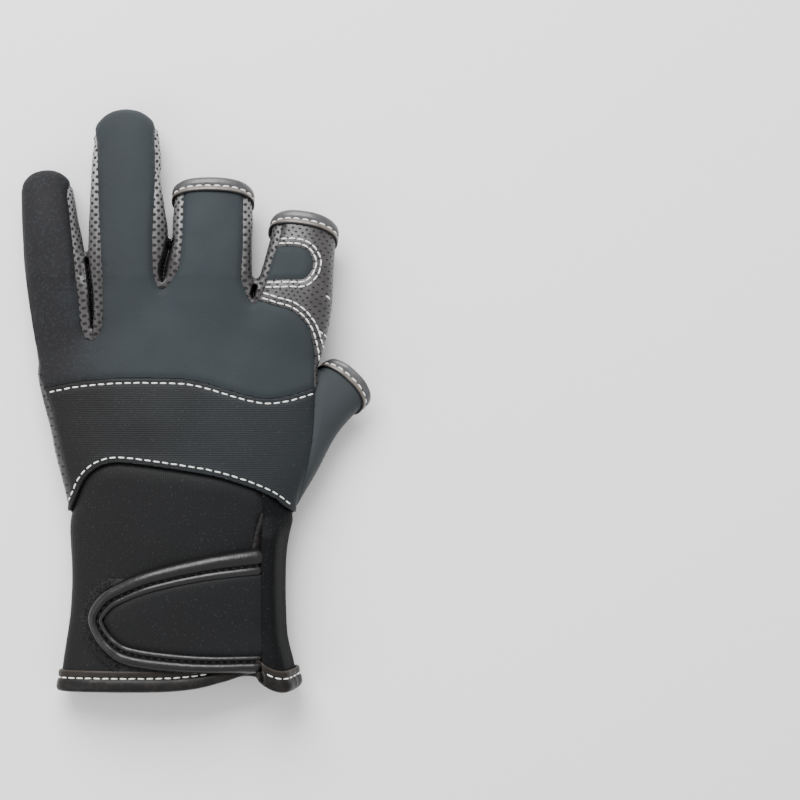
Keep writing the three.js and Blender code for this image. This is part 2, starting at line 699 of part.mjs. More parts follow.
// The strap lies on its loop patch and over the hem's binding, and is tucked under the flap
const band = (low, high) => layer(low, high).intersect(upperHalf);
const strapY = strapFoot * bodyLength;
const strapEdge = strapOutline.map(({ back, up }) => new THREE.Vector2(
  slitX - back * strapLength,
  strapY + up * strapWidth,
));
strapEdge[0].x += strapTuck;
strapEdge.at(-1).x += strapTuck;
const strapInside = offset(strapEdge, strapBindingWidth, true);
const strapField = offset(strapEdge, strapBindingWidth + seamGap, true);
const hemTop = hemBindingWidth + seamGap;
const hemZone = prism([
  place([-far.across, far.hem]),
  place([far.across, far.hem]),
  new THREE.Vector2(far.across * palmWidth, hemTop),
  new THREE.Vector2(-far.across * palmWidth, hemTop),
]);
addPiece('strap', band(strapRise, strapRise + strapWall).intersect(prism(strapField)), 'wristNeoprene');
addPiece('strap_binding', band(strapRise, strapRise + strapBindingWall)
  .intersect(prism(strapEdge))
  .subtract(prism(strapInside))
  .subtract(flapZone), 'binding');
addPiece('loop_patch', band(seamGap, seamGap + loopPatchWall)
  .intersect(prism(offset(strapEdge, -loopPatchMargin, true)))
  .subtract(wristBeyond(slitX - strapLength / 2))
  .subtract(hemZone), 'loop');
addPiece('slit_binding', band(seamGap, seamGap + bindingWall)
  .intersect(prism(slitSliver.map(place)))
  .subtract(flapRoom), 'binding');

addPiece('thumb_binding', binding(tubeAngles, thumbBindingWidth, (angle, inward, grow) => (
  thumbPoint(angle, 1 - inward / thumbReach, grow))), 'binding');

const origin = new THREE.Box3().setFromObject(group);
group.position.set(-(origin.min.x + origin.max.x) / 2, -(origin.min.y + origin.max.y) / 2, -origin.min.z);
group.updateMatrixWorld(true);

export default group;
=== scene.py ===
import math
import random
from functools import lru_cache

import bmesh
import bpy
import numpy as np
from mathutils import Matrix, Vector, noise
from mathutils.bvhtree import BVHTree
from mathutils.kdtree import KDTree


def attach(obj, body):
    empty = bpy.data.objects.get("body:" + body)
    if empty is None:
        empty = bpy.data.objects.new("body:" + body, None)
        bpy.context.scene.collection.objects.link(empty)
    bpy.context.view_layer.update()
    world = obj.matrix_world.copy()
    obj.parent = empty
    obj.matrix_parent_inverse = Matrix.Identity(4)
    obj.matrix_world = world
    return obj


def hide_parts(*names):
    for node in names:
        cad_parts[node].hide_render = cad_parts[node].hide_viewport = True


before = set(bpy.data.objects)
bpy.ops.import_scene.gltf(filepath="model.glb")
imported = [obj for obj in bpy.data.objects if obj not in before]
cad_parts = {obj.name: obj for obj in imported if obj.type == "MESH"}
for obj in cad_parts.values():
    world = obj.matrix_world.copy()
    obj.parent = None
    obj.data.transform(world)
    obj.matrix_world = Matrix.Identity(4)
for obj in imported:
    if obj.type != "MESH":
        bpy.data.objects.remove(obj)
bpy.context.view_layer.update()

# The glove's form, before it is cut into panels: the hand, four fingers and a thumb that the
# sewn panels close round. Lengths are in metres. Tables give places as shares of the hand's
# width, length and height, the same shares that the solid model follows.
palm_width = 0.1055
body_length = 0.152
palm_height = 0.026
hand_shift = Vector((-0.0059077, -0.1125427, 0))
roundness = 2.35
palm_roundness = 2.6
edge_roundness = 1.7
palm_sag = 0.003
knuckle_from = 0.5
hem_fade = 0.2
hem_reach = 0.004
elastic = {"station": 0.155, "spread": 0.075, "height": 0.0011, "pitch": 0.013}
flap_width = 0.0089
flap_run = 0.005
flap_lift = 0.0064
flap_down = (0.385, 0.45)

body_sections = [dict(zip(
    ("station", "left", "right", "top", "lift", "left_crest", "right_crest", "undercut"), row))
    for row in (
        (0, -0.452, 0.436, 0.84, 0.075, 0.42, 0.44, 0),
        (0.07, -0.44, 0.42, 0.82, 0.07, 0.42, 0.44, 0),
        (0.13, -0.428, 0.399, 0.82, 0.06, 0.42, 0.44, 0),
        (0.2, -0.414, 0.392, 0.85, 0.05, 0.42, 0.44, 0),
        (0.28, -0.407, 0.39, 0.89, 0.02, 0.42, 0.45, 0),
        (0.37, -0.41, 0.397, 0.94, 0, 0.43, 0.46, 0),
        (0.46, -0.42, 0.428, 0.98, 0, 0.44, 0.5, 0),
        (0.55, -0.443, 0.482, 1.01, 0, 0.45, 0.56, 0.2),
        (0.64, -0.47, 0.5, 1.02, 0, 0.46, 0.62, 0.5),
        (0.73, -0.489, 0.501, 1.02, 0.01, 0.48, 0.7, 0.9),
        (0.81, -0.508, 0.503, 1.0, 0.05, 0.5, 0.76, 1),
        (0.89, -0.525, 0.512, 0.97, 0.13, 0.52, 0.76, 1),
        (0.95, -0.53, 0.515, 0.91, 0.2, 0.53, 0.7, 0.6),
        (1, -0.5, 0.5, 0.82, 0.3, 0.54, 0.6, 0),
    )]
knuckle_line = [dict(across=across, along=along) for across, along in (
    (-0.6, 0.86), (-0.333, 0.885), (-0.2, 0.96), (-0.07, 1.0), (0.1, 1.005), (0.262, 0.97),
    (0.6, 0.92))]
hem_rise = [dict(across=across, along=along) for across, along in (
    (-0.6, 0), (-0.085, 0), (0.055, 0.008), (0.166, 0.026), (0.27, 0.046), (0.6, 0.046))]
side_seam = [dict(along=along, little=little, middle=middle, index=index)
             for along, little, middle, index in (
    (-0.1, 0.2, 0.3, 0.34), (0.42, 0.22, 0.4, 0.36), (0.5, 0.62, 0.5, 0.36),
    (0.72, 0.66, 0.5, 0.34), (0.82, 0.58, 0.52, 0.38), (0.95, 0.52, 0.56, 0.46),
    (1.2, 0.47, 0.52, 0.36), (1.45, 0.32, 0.33, 0.3), (1.7, 0.3, 0.3, 0.3))]

fingers = {name: dict(zip(
    ("root_x", "root_y", "root_height", "lean", "length", "curl", "root_width", "tip_width",
     "thickness", "open"), row)) for name, row in {
    "little": (-0.42, 0.83, 0.014, -7.2, 0.077, 19, 0.0245, 0.0195, 0.0165, False),
    "ring": (-0.201, 0.85, 0.0158, -0.3, 0.097, 19, 0.034, 0.0235, 0.0175, False),
    "middle": (0.105, 0.87, 0.0176, 1.4, 0.0605, 25, 0.0365, 0.0296, 0.0175, True),
    "index": (0.368, 0.83, 0.0175, 10, 0.054, 26, 0.0325, 0.0245, 0.0175, True),
}.items()}
finger_taper = [dict(along=along, spread=spread, rise=rise) for along, spread, rise in (
    (0, 0.6, 0.55), (0.2, 0.92, 0.92), (0.4, 0.97, 1), (0.6, 0.8, 1), (0.8, 0.4, 1), (1, 0, 1))]
tip_bluntness = 0.8
mouth_slant = 0.22

thumb_width = 0.0214
thumb_height = 0.018
thumb_slant = 0.25
thumb_sections = [dict(zip(
    ("station", "across", "along", "height", "heading", "tilt", "wide", "deep"), row)) for row in (
        (0, 0.275, 0.34, 0.4, 84, 0, 0.92, 0.95),
        (0.25, 0.305, 0.46, 0.43, 76, 3, 1.1, 1.08),
        (0.5, 0.37, 0.59, 0.45, 63, 6, 1.4, 1.16),
        (0.75, 0.475, 0.7, 0.43, 52, 12, 1.22, 1.08),
        (1, 0.608, 0.781, 0.4, 46, 24, 1, 1))]
thumb_reach = math.hypot(
    (thumb_sections[-1]["across"] - thumb_sections[0]["across"]) * palm_width,
    (thumb_sections[-1]["along"] - thumb_sections[0]["along"]) * body_length)


def follow(table, key, place, column):
    """A table's column at one place, on a smooth curve through its rows"""
    index = 0
    while index < len(table) - 2 and table[index + 1][key] <= place:
        index += 1
    before, start, end = table[max(index - 1, 0)], table[index], table[index + 1]
    after = table[min(index + 2, len(table) - 1)]
    span = end[key] - start[key]
    share = min(max((place - start[key]) / span, 0), 1)
    slope_in = (end[column] - before[column]) / (end[key] - before[key]) * span
    slope_out = (after[column] - start[column]) / (after[key] - start[key]) * span
    square, cube = share ** 2, share ** 3
    return (start[column] * (2 * cube - 3 * square + 1) + slope_in * (cube - 2 * square + share)
            + end[column] * (3 * square - 2 * cube) + slope_out * (cube - square))


@lru_cache(None)
def body_columns(station):
    return {name: follow(body_sections, "station", station, name) for name in body_sections[0]}


def swell(value, exponent):
    return math.copysign(abs(value) ** exponent, value)


def ease(start, end, value):
    share = min(max((value - start) / (end - start), 0), 1)
    return share * share * (3 - 2 * share)


def flap_rise(across, station):
    edge = body_columns(station)["right"] * palm_width
    return flap_lift * ease(0, flap_run, edge - across) * (1 - ease(*flap_down, station))


def body_point(angle, station, grow=0.0, flap=False):
    """A point of the hand's skin, pushed out by grow, or of the raised wrist flap's skin"""
    column = body_columns(station)
    left, right = column["left"] * palm_width, column["right"] * palm_width
    top, lift = column["top"] * palm_height, column["lift"] * palm_height
    cosine, sine = math.cos(angle), math.sin(angle)
    side = (cosine + 1) / 2
    crest = (column["left_crest"] * (1 - side) + column["right_crest"] * side) * palm_height
    edge = side * side * column["undercut"]
    shape = 2 / (roundness if sine >= 0 else palm_roundness * (1 - edge) + edge_roundness * edge)
    skin = (left + right) / 2 + (right - left) / 2 * swell(cosine, shape)
    x = skin + grow * swell(cosine, shape)
    z = crest + (top - crest + grow) * swell(sine, shape)
    if sine < 0:
        z = crest + (crest - lift + palm_sag + grow) * swell(sine, shape)
        gather = 0.0
        if lift > 0:
            near = math.exp(-((station - elastic["station"]) / elastic["spread"]) ** 2)
            gather = elastic["height"] * near * math.cos(2 * math.pi * x / elastic["pitch"])
            gather *= ease(0, 0.12, -sine) * ease(0, elastic["height"] / 2, lift)
        z = max(z, lift - grow + gather)
    elif flap:
        z += flap_rise(skin, station)
    across = skin / palm_width
    knuckle = follow(knuckle_line, "across", across, "along")
    along = station + max(station - knuckle_from, 0) / (1 - knuckle_from) * (knuckle - 1)
    if station < hem_fade and sine > 0 and not flap:
        rise = follow(hem_rise, "across", across, "along")
        along += rise * (1 - station / hem_fade) * ease(0, 0.5, sine)
    return Vector((x, along * body_length, z)) + hand_shift


def finger_middle(finger, distance):
    """How far a finger has dropped, and its pitch, at a distance from its root"""
    share = max(distance / finger["length"], 0)
    slope = math.tan(math.radians(finger["curl"]))
    return slope * finger["length"] * share ** 4 / 4, math.atan(slope * share ** 3), share


def finger_point(finger, angle, distance, grow=0.0):
    """A point of a finger's skin; the finger curls down more and more towards its tip"""
    drop, pitch, share = finger_middle(finger, distance)
    lean = math.radians(finger["lean"])
    spread = follow(finger_taper, "along", min(share, 1), "spread")
    rise = follow(finger_taper, "along", min(share, 1), "rise")
    tip = finger["tip_width"] / 2 * tip_bluntness
    swelling = spread * (finger["root_width"] - finger["tip_width"])
    half_width = (finger["tip_width"] + swelling) / 2 + grow
    half_height = rise * finger["thickness"] / 2 + grow
    past = distance - (finger["length"] - tip)
    if not finger["open"] and past > 0:
        closing = math.sqrt(max(1 - (past / (tip + grow)) ** 2, 0))
        half_width *= closing
        half_height *= closing
    sideways = half_width * swell(math.cos(angle), 2 / roundness)
    upward = half_height * swell(math.sin(angle), 2 / roundness)
    slant = mouth_slant * share ** 3 if finger["open"] else 0
    forward = distance + upward * (math.sin(pitch) + slant)
    return Vector((
        finger["root_x"] * palm_width + forward * math.sin(lean) + sideways * math.cos(lean),
        finger["root_y"] * body_length + forward * math.cos(lean) - sideways * math.sin(lean),
        max(finger["root_height"] - drop + upward * math.cos(pitch), max(-grow, 0)),
    )) + hand_shift


def thumb_point(angle, station, grow=0.0):
    """A point of the thumb's skin; stations past 1 carry on straight out of its mouth"""
    column = {name: follow(thumb_sections, "station", min(station, 1), name)
              for name in thumb_sections[0]}
    heading, tilt = math.radians(column["heading"]), math.radians(column["tilt"])
    forward = Vector((math.cos(heading) * math.cos(tilt), math.sin(heading) * math.cos(tilt),
                      -math.sin(tilt)))
    side = Vector((math.sin(heading), -math.cos(heading), 0))
    up = side.cross(forward)
    centre = Vector((column["across"] * palm_width, column["along"] * body_length,
                     column["height"] * palm_height))
    sideways = (thumb_width * column["wide"] / 2 + grow) * swell(math.cos(angle), 2 / roundness)
    upward = (thumb_height * column["deep"] / 2 + grow) * swell(math.sin(angle), 2 / roundness)
    point = centre + side * sideways + up * upward
    point += forward * (max(station - 1, 0) * thumb_reach + upward * thumb_slant * min(station, 1) ** 3)
    point.z = max(point.z, max(-grow, 0))
    return point + hand_shift


def joined(wrapped, ends=True):
    """A wrapped grid with its meeting edges joined, and its ends closed where asked"""
    bmesh.ops.remove_doubles(wrapped, verts=wrapped.verts, dist=1e-6)
    if ends:
        bmesh.ops.holes_fill(wrapped, edges=wrapped.edges, sides=0)
    bmesh.ops.recalc_face_normals(wrapped, faces=wrapped.faces)
    return wrapped


def tube(around, along, point_at):
    """A grid wrapped into a closed tube, each of its points set by the share around and along"""
    wrapped = bmesh.new()
    bmesh.ops.create_grid(wrapped, x_segments=around, y_segments=along, size=0.5)
    for vert in wrapped.verts:
        vert.co = point_at(vert.co.x + 0.5, vert.co.y + 0.5)
    return joined(wrapped)


def gather_meshes(parts):
    """Several bmeshes as one"""
    whole = bmesh.new()
    for part in parts:
        mesh = bpy.data.meshes.new("part")
        part.to_mesh(mesh)
        part.free()
        whole.from_mesh(mesh)
        bpy.data.meshes.remove(mesh)
    return whole


def object_from(name, cloth):
    """A finished bmesh as an object of the scene, shaded smooth"""
    mesh = bpy.data.meshes.new(name)
    cloth.to_mesh(mesh)
    for polygon in mesh.polygons:
        polygon.use_smooth = True
    made = bpy.data.objects.new(name, mesh)
    bpy.context.scene.collection.objects.link(made)
    return made


skin_step = 0.001
hem_station = -hem_reach / body_length
turn = 2 * math.pi
block_foot, block_height = -0.01, 0.06


def upright(outlines):
    """Upright blocks on outlines seen from above, tall enough to go through the glove"""
    blocks = bmesh.new()
    for outline in outlines:
        foot = blocks.faces.new([blocks.verts.new((x, y, block_foot)) for x, y in outline])
        grown = bmesh.ops.extrude_face_region(blocks, geom=[foot])["geom"]
        top = [part for part in grown if isinstance(part, bmesh.types.BMVert)]
        bmesh.ops.translate(blocks, vec=(0, 0, block_height), verts=top)
    bmesh.ops.recalc_face_normals(blocks, faces=blocks.faces)
    return blocks


def wrap(made):
    """Wraps an object's overlapping forms in one even skin"""
    remesh = made.modifiers.new("skin", "REMESH")
    remesh.mode = "VOXEL"
    remesh.voxel_size = skin_step


def one_skin(parts, gaps=()):
    """One closed skin round overlapping closed forms, less the gaps between them"""
    rough = object_from("rough_form", gather_meshes(parts))
    blocks = object_from("gaps", upright(gaps))
    wrap(rough)
    if gaps:
        cut = rough.modifiers.new("gaps", "BOOLEAN")
        cut.solver = "MANIFOLD"
        cut.object = blocks
        wrap(rough)
    evaluated = rough.evaluated_get(bpy.context.evaluated_depsgraph_get())
    skin = bmesh.new()
    skin.from_mesh(evaluated.to_mesh())
    evaluated.to_mesh_clear()
    bpy.data.objects.remove(rough)
    bpy.data.objects.remove(blocks)
    return skin


def tip_distance(finger, share):
    """Even steps down a finger, then steps that follow the round of its closed tip"""
    if finger["open"]:
        return share * (finger["length"] + hem_reach)
    tip = finger["tip_width"] / 2 * tip_bluntness
    straight = 0.8
    if share < straight:
        return share / straight * (finger["length"] - tip)
    return finger["length"] - tip + tip * math.sin((share - straight) / (1 - straight) * 1.55)


def body_form(flap=False):
    return tube(168, 110, lambda u, v: body_point(
        u * turn, hem_station + v * (1 - hem_station), 0, flap))


def finger_form(finger):
    return tube(64, 60, lambda u, v: finger_point(finger, u * turn, tip_distance(finger, v)))


def hand_parts():
    return [body_form()] + [finger_form(finger) for finger in fingers.values()]


def thumb_form():
    return tube(64, 60, lambda u, v: thumb_point(u * turn, v * (1 + hem_reach / thumb_reach)))


def place(across, along):
    """A place seen from above, from its shares of the hand's width and length"""
    return (across * palm_width + hand_shift.x, along * body_length + hand_shift.y)


def places_of(shares):
    return [place(*share) for share in shares]


hand_tree = BVHTree.FromBMesh(one_skin(hand_parts()))
thumb_tree = BVHTree.FromBMesh(thumb_form())

# Between two fingers the gap runs far down as a narrow wedge: its outline, seen from above
gap_outlines = (
    ((-0.404, 1.296), (-0.387, 1.23), (-0.375, 1.189), (-0.3635, 1.149), (-0.3575, 1.11),
     (-0.354, 1.08), (-0.338, 1.08), (-0.339, 1.11), (-0.3405, 1.138), (-0.3402, 1.194),
     (-0.3354, 1.241), (-0.3296, 1.305), (-0.327, 1.351), (-0.3225, 1.39), (-0.3155, 1.431)),
    ((-0.0975, 1.39), (-0.0872, 1.351), (-0.077, 1.31), (-0.0682, 1.269), (-0.0605, 1.229),
     (-0.0512, 1.189), (-0.0465, 1.149), (-0.0455, 1.131), (-0.0295, 1.131), (-0.0295, 1.152),
     (-0.03, 1.192), (-0.0265, 1.23), (-0.0255, 1.25)),
    ((0.268, 1.25), (0.2655, 1.2), (0.2612, 1.14), (0.2623, 1.104), (0.265, 1.069),
     (0.2668, 1.04), (0.2675, 1.013), (0.2835, 1.013), (0.285, 1.04), (0.2948, 1.069),
     (0.3103, 1.104), (0.3258, 1.14), (0.3402, 1.174)))
skin = one_skin(hand_parts() + [thumb_form()], [places_of(outline) for outline in gap_outlines])


def smooth(verts, rounds):
    for _ in range(rounds):
        bmesh.ops.smooth_vert(skin, verts=verts, factor=0.5,
                              use_axis_x=True, use_axis_y=True, use_axis_z=True)


smooth(skin.verts, 3)
skin.normal_update()
knuckles_low, knuckles_high, knuckles_right = -0.008, 0.048, 0.045
facing_up = 0.4
smooth([vert for vert in skin.verts
        if vert.normal.z > facing_up and knuckles_low < vert.co.y < knuckles_high
        and vert.co.x < knuckles_right], 110)
dent_depth, dents_a_metre = 0.0005, 50
for vert in skin.verts:
    vert.co += vert.normal * (dent_depth * noise.noise(vert.co * dents_a_metre))

# The seams, seen from above as shares of palm_width across and body_length along. Each panel
# is the skin inside its seams, as the real pieces are cut from flat cloth and sewn edge to edge.
seams = {
    "knuckles": ((-0.7, 0.768), (-0.529, 0.769), (-0.384, 0.786), (-0.24, 0.795), (-0.092, 0.796),
                 (0.055, 0.79), (0.229, 0.756), (0.318, 0.744), (0.403, 0.751), (0.499, 0.772),
                 (0.56, 0.79)),
    "wrist": ((-0.7, 0.42), (-0.5, 0.425), (-0.418, 0.456), (-0.359, 0.533), (-0.314, 0.564),
              (-0.259, 0.579), (-0.181, 0.579), (0.026, 0.559), (0.14, 0.544), (0.259, 0.518),
              (0.347, 0.49), (0.4, 0.462), (0.5, 0.43), (0.7, 0.41)),
    "index_side": ((0.27, 0.993), (0.292, 0.995), (0.359, 0.981), (0.418, 0.967), (0.469, 0.931),
                   (0.495, 0.879), (0.501, 0.831), (0.499, 0.74)),
    "patch": ((0.33, 1.147), (0.37, 1.147), (0.433, 1.147), (0.484, 1.132), (0.511, 1.097),
              (0.499, 1.062), (0.462, 1.038), (0.403, 1.036), (0.333, 1.035), (0.29, 1.035)),
    "thumb_back": ((0.56, 0.8), (0.514, 0.782), (0.499, 0.744), (0.488, 0.641), (0.468, 0.56),
                   (0.438, 0.487), (0.4, 0.4)),
    "thumb_palm": ((0.6, 0.725), (0.514, 0.713), (0.433, 0.708), (0.318, 0.677), (0.229, 0.636),
                   (0.142, 0.575), (0.091, 0.495), (0.087, 0.423), (0.098, 0.342), (0.128, 0.262),
                   (0.2, 0.215), (0.33, 0.22), (0.6, 0.25)),
    "little_ring": ((-0.395, 1.32), (-0.415, 1.275), (-0.407, 1.218), (-0.393, 1.128), (-0.374, 0.972),
                    (-0.362, 0.915), (-0.333, 0.893), (-0.292, 0.923), (-0.285, 1.031),
                    (-0.302, 1.236), (-0.312, 1.37), (-0.327, 1.43), (-0.36, 1.47)),
    "ring_middle": ((-0.02, 1.5), (-0.085, 1.465), (-0.092, 1.425), (-0.088, 1.336),
                    (-0.095, 1.236), (-0.1, 1.133), (-0.096, 1.062), (-0.067, 1.023),
                    (-0.011, 1.072), (0.004, 1.133), (0.007, 1.236), (0.007, 1.4)),
    "middle_index": ((0.238, 1.4), (0.235, 1.133), (0.229, 1.051), (0.266, 0.987), (0.303, 1.015),
                     (0.336, 1.097), (0.37, 1.174), (0.395, 1.35)),
}
side_strip_across = 0.23
slit_x = body_sections[4]["right"] * palm_width - flap_width + hand_shift.x
slit_tuck = 0.004
far = {"across": 0.9, "tips": 1.9, "hem": -0.4, "wrist": 0.52}


def spline(points, steps=8):
    """A smooth line through points, with even steps between each two"""
    line = []
    for index in range(len(points) - 1):
        quad = [np.array(points[min(max(index + shift, 0), len(points) - 1)])
                for shift in (-1, 0, 1, 2)]
        for step in range(steps):
            t = step / steps
            weights = (-t + 2 * t * t - t ** 3, 2 - 5 * t * t + 3 * t ** 3,
                       t + 4 * t * t - 3 * t ** 3, t ** 3 - t * t)
            line.append(tuple(sum(w * q for w, q in zip(weights, quad)) / 2))
    line.append(tuple(points[-1]))
    return line


def seam_line(name):
    return spline(places_of(seams[name]))


def within(outline):
    """A measure of places: their distance from an outline seen from above, negative inside it"""
    corners = np.array(outline)
    nexts = np.roll(corners, -1, axis=0)

    def measure(places):
        x, y = places[:, 0], places[:, 1]
        nearest = np.full(len(x), np.inf)
        inside = np.zeros(len(x), bool)
        for (ax, ay), (bx, by) in zip(corners, nexts):
            run = (bx - ax) ** 2 + (by - ay) ** 2
            if run < 1e-16:
                continue
            share = np.clip(((x - ax) * (bx - ax) + (y - ay) * (by - ay)) / run, 0, 1)
            away = np.hypot(x - ax - share * (bx - ax), y - ay - share * (by - ay))
            nearest = np.minimum(nearest, away)
            if ay != by:
                inside ^= ((ay > y) != (by > y)) & (x < (bx - ax) * (y - ay) / (by - ay) + ax)
        return np.where(inside, -nearest, nearest)
    return measure


def past_seam(name, *corners):
    """A measure: negative on that side of a seam where these corners close an outline with it"""
    return within(seam_line(name) + places_of(corners))


def below(name):
    """A measure: negative on the hem's side of a seam that runs across the hand"""
    return past_seam(name, (far["across"], far["hem"]), (-far["across"], far["hem"]))


def below_side_seam(places):
    """Negative on the palm side of the seam that joins the back to the palm"""
    heights = np.empty(len(places))
    for index, (x, y, z) in enumerate(places):
        along = (y - hand_shift.y) / body_length
        across = (x - hand_shift.x) / palm_width
        middle, side = (follow(side_seam, "along", along, name)
                        for name in ("middle", "little" if across < 0 else "index"))
        share = ease(0, 0.45, abs(across))
        heights[index] = z - palm_height * (middle * (1 - share) + side * share)
    return heights


thumbless_gap = 0.01


def on_thumb(places):
    """Negative where the skin lies nearer to the thumb's form than to the hand's"""
    gaps = np.empty(len(places))
    for index, spot in enumerate(places):
        if spot[0] < 0.0:
            gaps[index] = thumbless_gap
            continue
        to_thumb, to_hand = (tree.find_nearest(Vector(spot))[3] for tree in (thumb_tree, hand_tree))
        gaps[index] = to_thumb - to_hand
    return gaps


def mouth(point_at, width):
    """A measure: negative past the plane of an open mouth, as far out as its tube is wide"""
    ring = [point_at(turn * quarter / 4) for quarter in range(4)]
    half_width = width / 2 + skin_step
    centre = sum(ring, Vector()) / len(ring)
    across = (ring[0] - ring[2]).normalized()
    out = (ring[0] - ring[2]).cross(ring[1] - ring[3]).normalized()
    if out.y < 0:
        out = -out

    def measure(places):
        steps = places - np.array(centre)
        return np.maximum(-steps @ np.array(out), np.abs(steps @ np.array(across)) - half_width)
    return measure


flap_middle, flap_half, flap_sag = 0.0345, 0.0095, 0.0044
palm_hem = [dict(across=across, along=along) for across, along in (
    (-0.6, 0), (-0.085, 0), (0.055, 0.007), (0.166, 0.024), (0.24, 0.034), (0.3, 0.026),
    (0.36, 0.01), (0.6, 0))]


def flap_hem(x):
    """How far the flap's hem is drawn up towards its two ends"""
    return flap_sag * np.minimum(((x - flap_middle) / flap_half) ** 2, 1.2)


def palm_hem_rise(x, depth):
    """How far the palm's hem is drawn up, with the back's and with the flap's outer end"""
    side = flap_hem(x) if x > flap_middle else 0
    along = follow(palm_hem, "across", (x - hand_shift.x) / palm_width, "along")
    return body_length * along * ease(0, 0.5, depth) + side


def past_hem(places):
    """Negative past the hem, which rises towards the thumb"""
    start = body_columns(0)
    values = np.empty(len(places))
    for index, (x, y, z) in enumerate(places):
        across = (x - hand_shift.x) / palm_width
        side = min(max((across - start["left"]) / (start["right"] - start["left"]), 0), 1)
        crest = (start["left_crest"] * (1 - side) + start["right_crest"] * side) * palm_height
        height = max((z - crest) / (start["top"] * palm_height - crest), 0)
        rise = follow(hem_rise, "across", across, "along")
        rise *= ease(0, 0.5, min(height, 1) ** (roundness / 2))
        depth = max((crest - z) / crest, 0)
        values[index] = y - hand_shift.y - rise * body_length - palm_hem_rise(x, depth)
    return values


webs = {"little_ring": ("little", "ring"), "ring_middle": ("ring", "middle"),
        "middle_index": ("middle", "index")}
panel_names = ["back_panel", "waste", "index_wrap", "index_patch", "mid_panel", "wrist_panel",
               "palm_panel", "wrist_side_strip", "thumb_back", "thumb_palm", "wrist_flap",
               *(f"web_{web}" for web in webs)]
snap = 0.00015


def divide(cloth, source, measure, inside):
    """Cuts one panel along the line where a measure is nothing, and names what is inside it"""
    layer = cloth.faces.layers.int["panel"]
    value = cloth.verts.layers.float["measure"]
    number = panel_names.index(source)
    faces = [face for face in cloth.faces if face[layer] == number]
    for vert in cloth.verts:
        vert[value] = 1
    verts = list({vert for face in faces for vert in face.verts})
    for vert, measured in zip(verts, measure(np.array([vert.co[:] for vert in verts]))):
        vert[value] = measured
    shares = {}
    for edge in {edge for face in faces for edge in face.edges}:
        start, end = (vert[value] for vert in edge.verts)
        if start * end < 0 and min(abs(start), abs(end)) > snap:
            shares[edge] = start / (start - end)
    bmesh.ops.bisect_edges(cloth, edges=list(shares), cuts=1, edge_percents=shares)
    line = [vert for vert in cloth.verts if abs(vert[value]) <= snap]
    bmesh.ops.connect_verts(cloth, verts=line)
    faces = [face for face in cloth.faces if face[layer] == number]
    centres = np.array([face.calc_center_median()[:] for face in faces])
    for face, measured in zip(faces, measure(centres)):
        if measured < 0:
            face[layer] = panel_names.index(inside)


def drawn_beside(line, away):
    """A line beside another one, on its left where away is positive"""
    line = np.array(line)
    run = np.gradient(line, axis=0)
    run /= np.linalg.norm(run, axis=1)[:, None]
    return line + np.stack((-run[:, 1], run[:, 0]), 1) * away


def start_panels(cloth):
    """The layers that divide() keeps its panels and its measure in"""
    cloth.faces.layers.int.new("panel")
    cloth.verts.layers.float.new("measure")


patch_inset = 0.002
strip_x, wrist_y = place(side_strip_across, far["wrist"])
lower_thumb_seam = spline(places_of(seams["thumb_back"][2:]))
right_of_seam = within(lower_thumb_seam + places_of(((0.9, 0.4), (0.9, 1.2), (0.499, 1.2))))
start_panels(skin)
for name in ("middle", "index"):
    finger = fingers[name]
    divide(skin, "back_panel", mouth(lambda angle: finger_point(finger, angle, finger["length"]),
                                     finger["tip_width"]), "waste")
divide(skin, "back_panel", mouth(lambda angle: thumb_point(angle, 1), thumb_width), "waste")
divide(skin, "back_panel", past_hem, "waste")
divide(skin, "back_panel", lambda places: np.maximum(on_thumb(places), right_of_seam(places)),
       "thumb_back")
for web in webs:
    divide(skin, "back_panel", within(seam_line(web)), f"web_{web}")
divide(skin, "back_panel", below_side_seam, "palm_panel")
divide(skin, "thumb_back", below_side_seam, "thumb_palm")
divide(skin, "back_panel", below("wrist"), "wrist_panel")
divide(skin, "back_panel", past_seam("thumb_back", (far["across"], 0.4), (far["across"], 0.8)),
       "thumb_back")
divide(skin, "palm_panel", within(seam_line("thumb_palm")), "thumb_palm")
divide(skin, "back_panel", below("knuckles"), "mid_panel")
divide(skin, "back_panel", past_seam("index_side", (far["across"], 0.74),
                                     (far["across"], far["tips"]), (0.25, far["tips"])), "index_wrap")
divide(skin, "index_wrap", within(drawn_beside(seam_line("patch"), -patch_inset)), "index_patch")
divide(skin, "palm_panel", lambda places: np.maximum(strip_x - places[:, 0], places[:, 1] - wrist_y),
       "wrist_side_strip")
divide(skin, "wrist_panel", lambda places: slit_x + slit_tuck - places[:, 0], "waste")

# Below each gap the two strips meet in a cleft, carved in and darkened on the web leather with painted
# shade: its half width and its line, from below
clefts = ((0.0009, ((-0.327, 0.925), (-0.328, 0.984), (-0.331, 1.023), (-0.337, 1.055),
                    (-0.346, 1.1))),
          (0.0016, ((-0.067, 1.046), (-0.061, 1.082), (-0.05, 1.11), (-0.0375, 1.15))),
          (0.001, ((0.267, 1.003), (0.2755, 1.03))))
cleft_depth, cleft_floor = 0.006, 0.0035
cleft_spots = []
for half, line in clefts:
    spots = spline(places_of(line), 12)
    cleft_spots += [(x, y, half * min(0.35 + 3 * number / len(spots), 1))
                    for number, (x, y) in enumerate(spots)]
cleft_track = KDTree(len(cleft_spots))
for index, (x, y, _) in enumerate(cleft_spots):
    cleft_track.insert((x, y, 0), index)
cleft_track.balance()


def from_cleft(spot):
    """How many half widths a place is from the nearest cleft, seen from above"""
    _, index, away = cleft_track.find((spot.x, spot.y, 0))
    return away / cleft_spots[index][2]


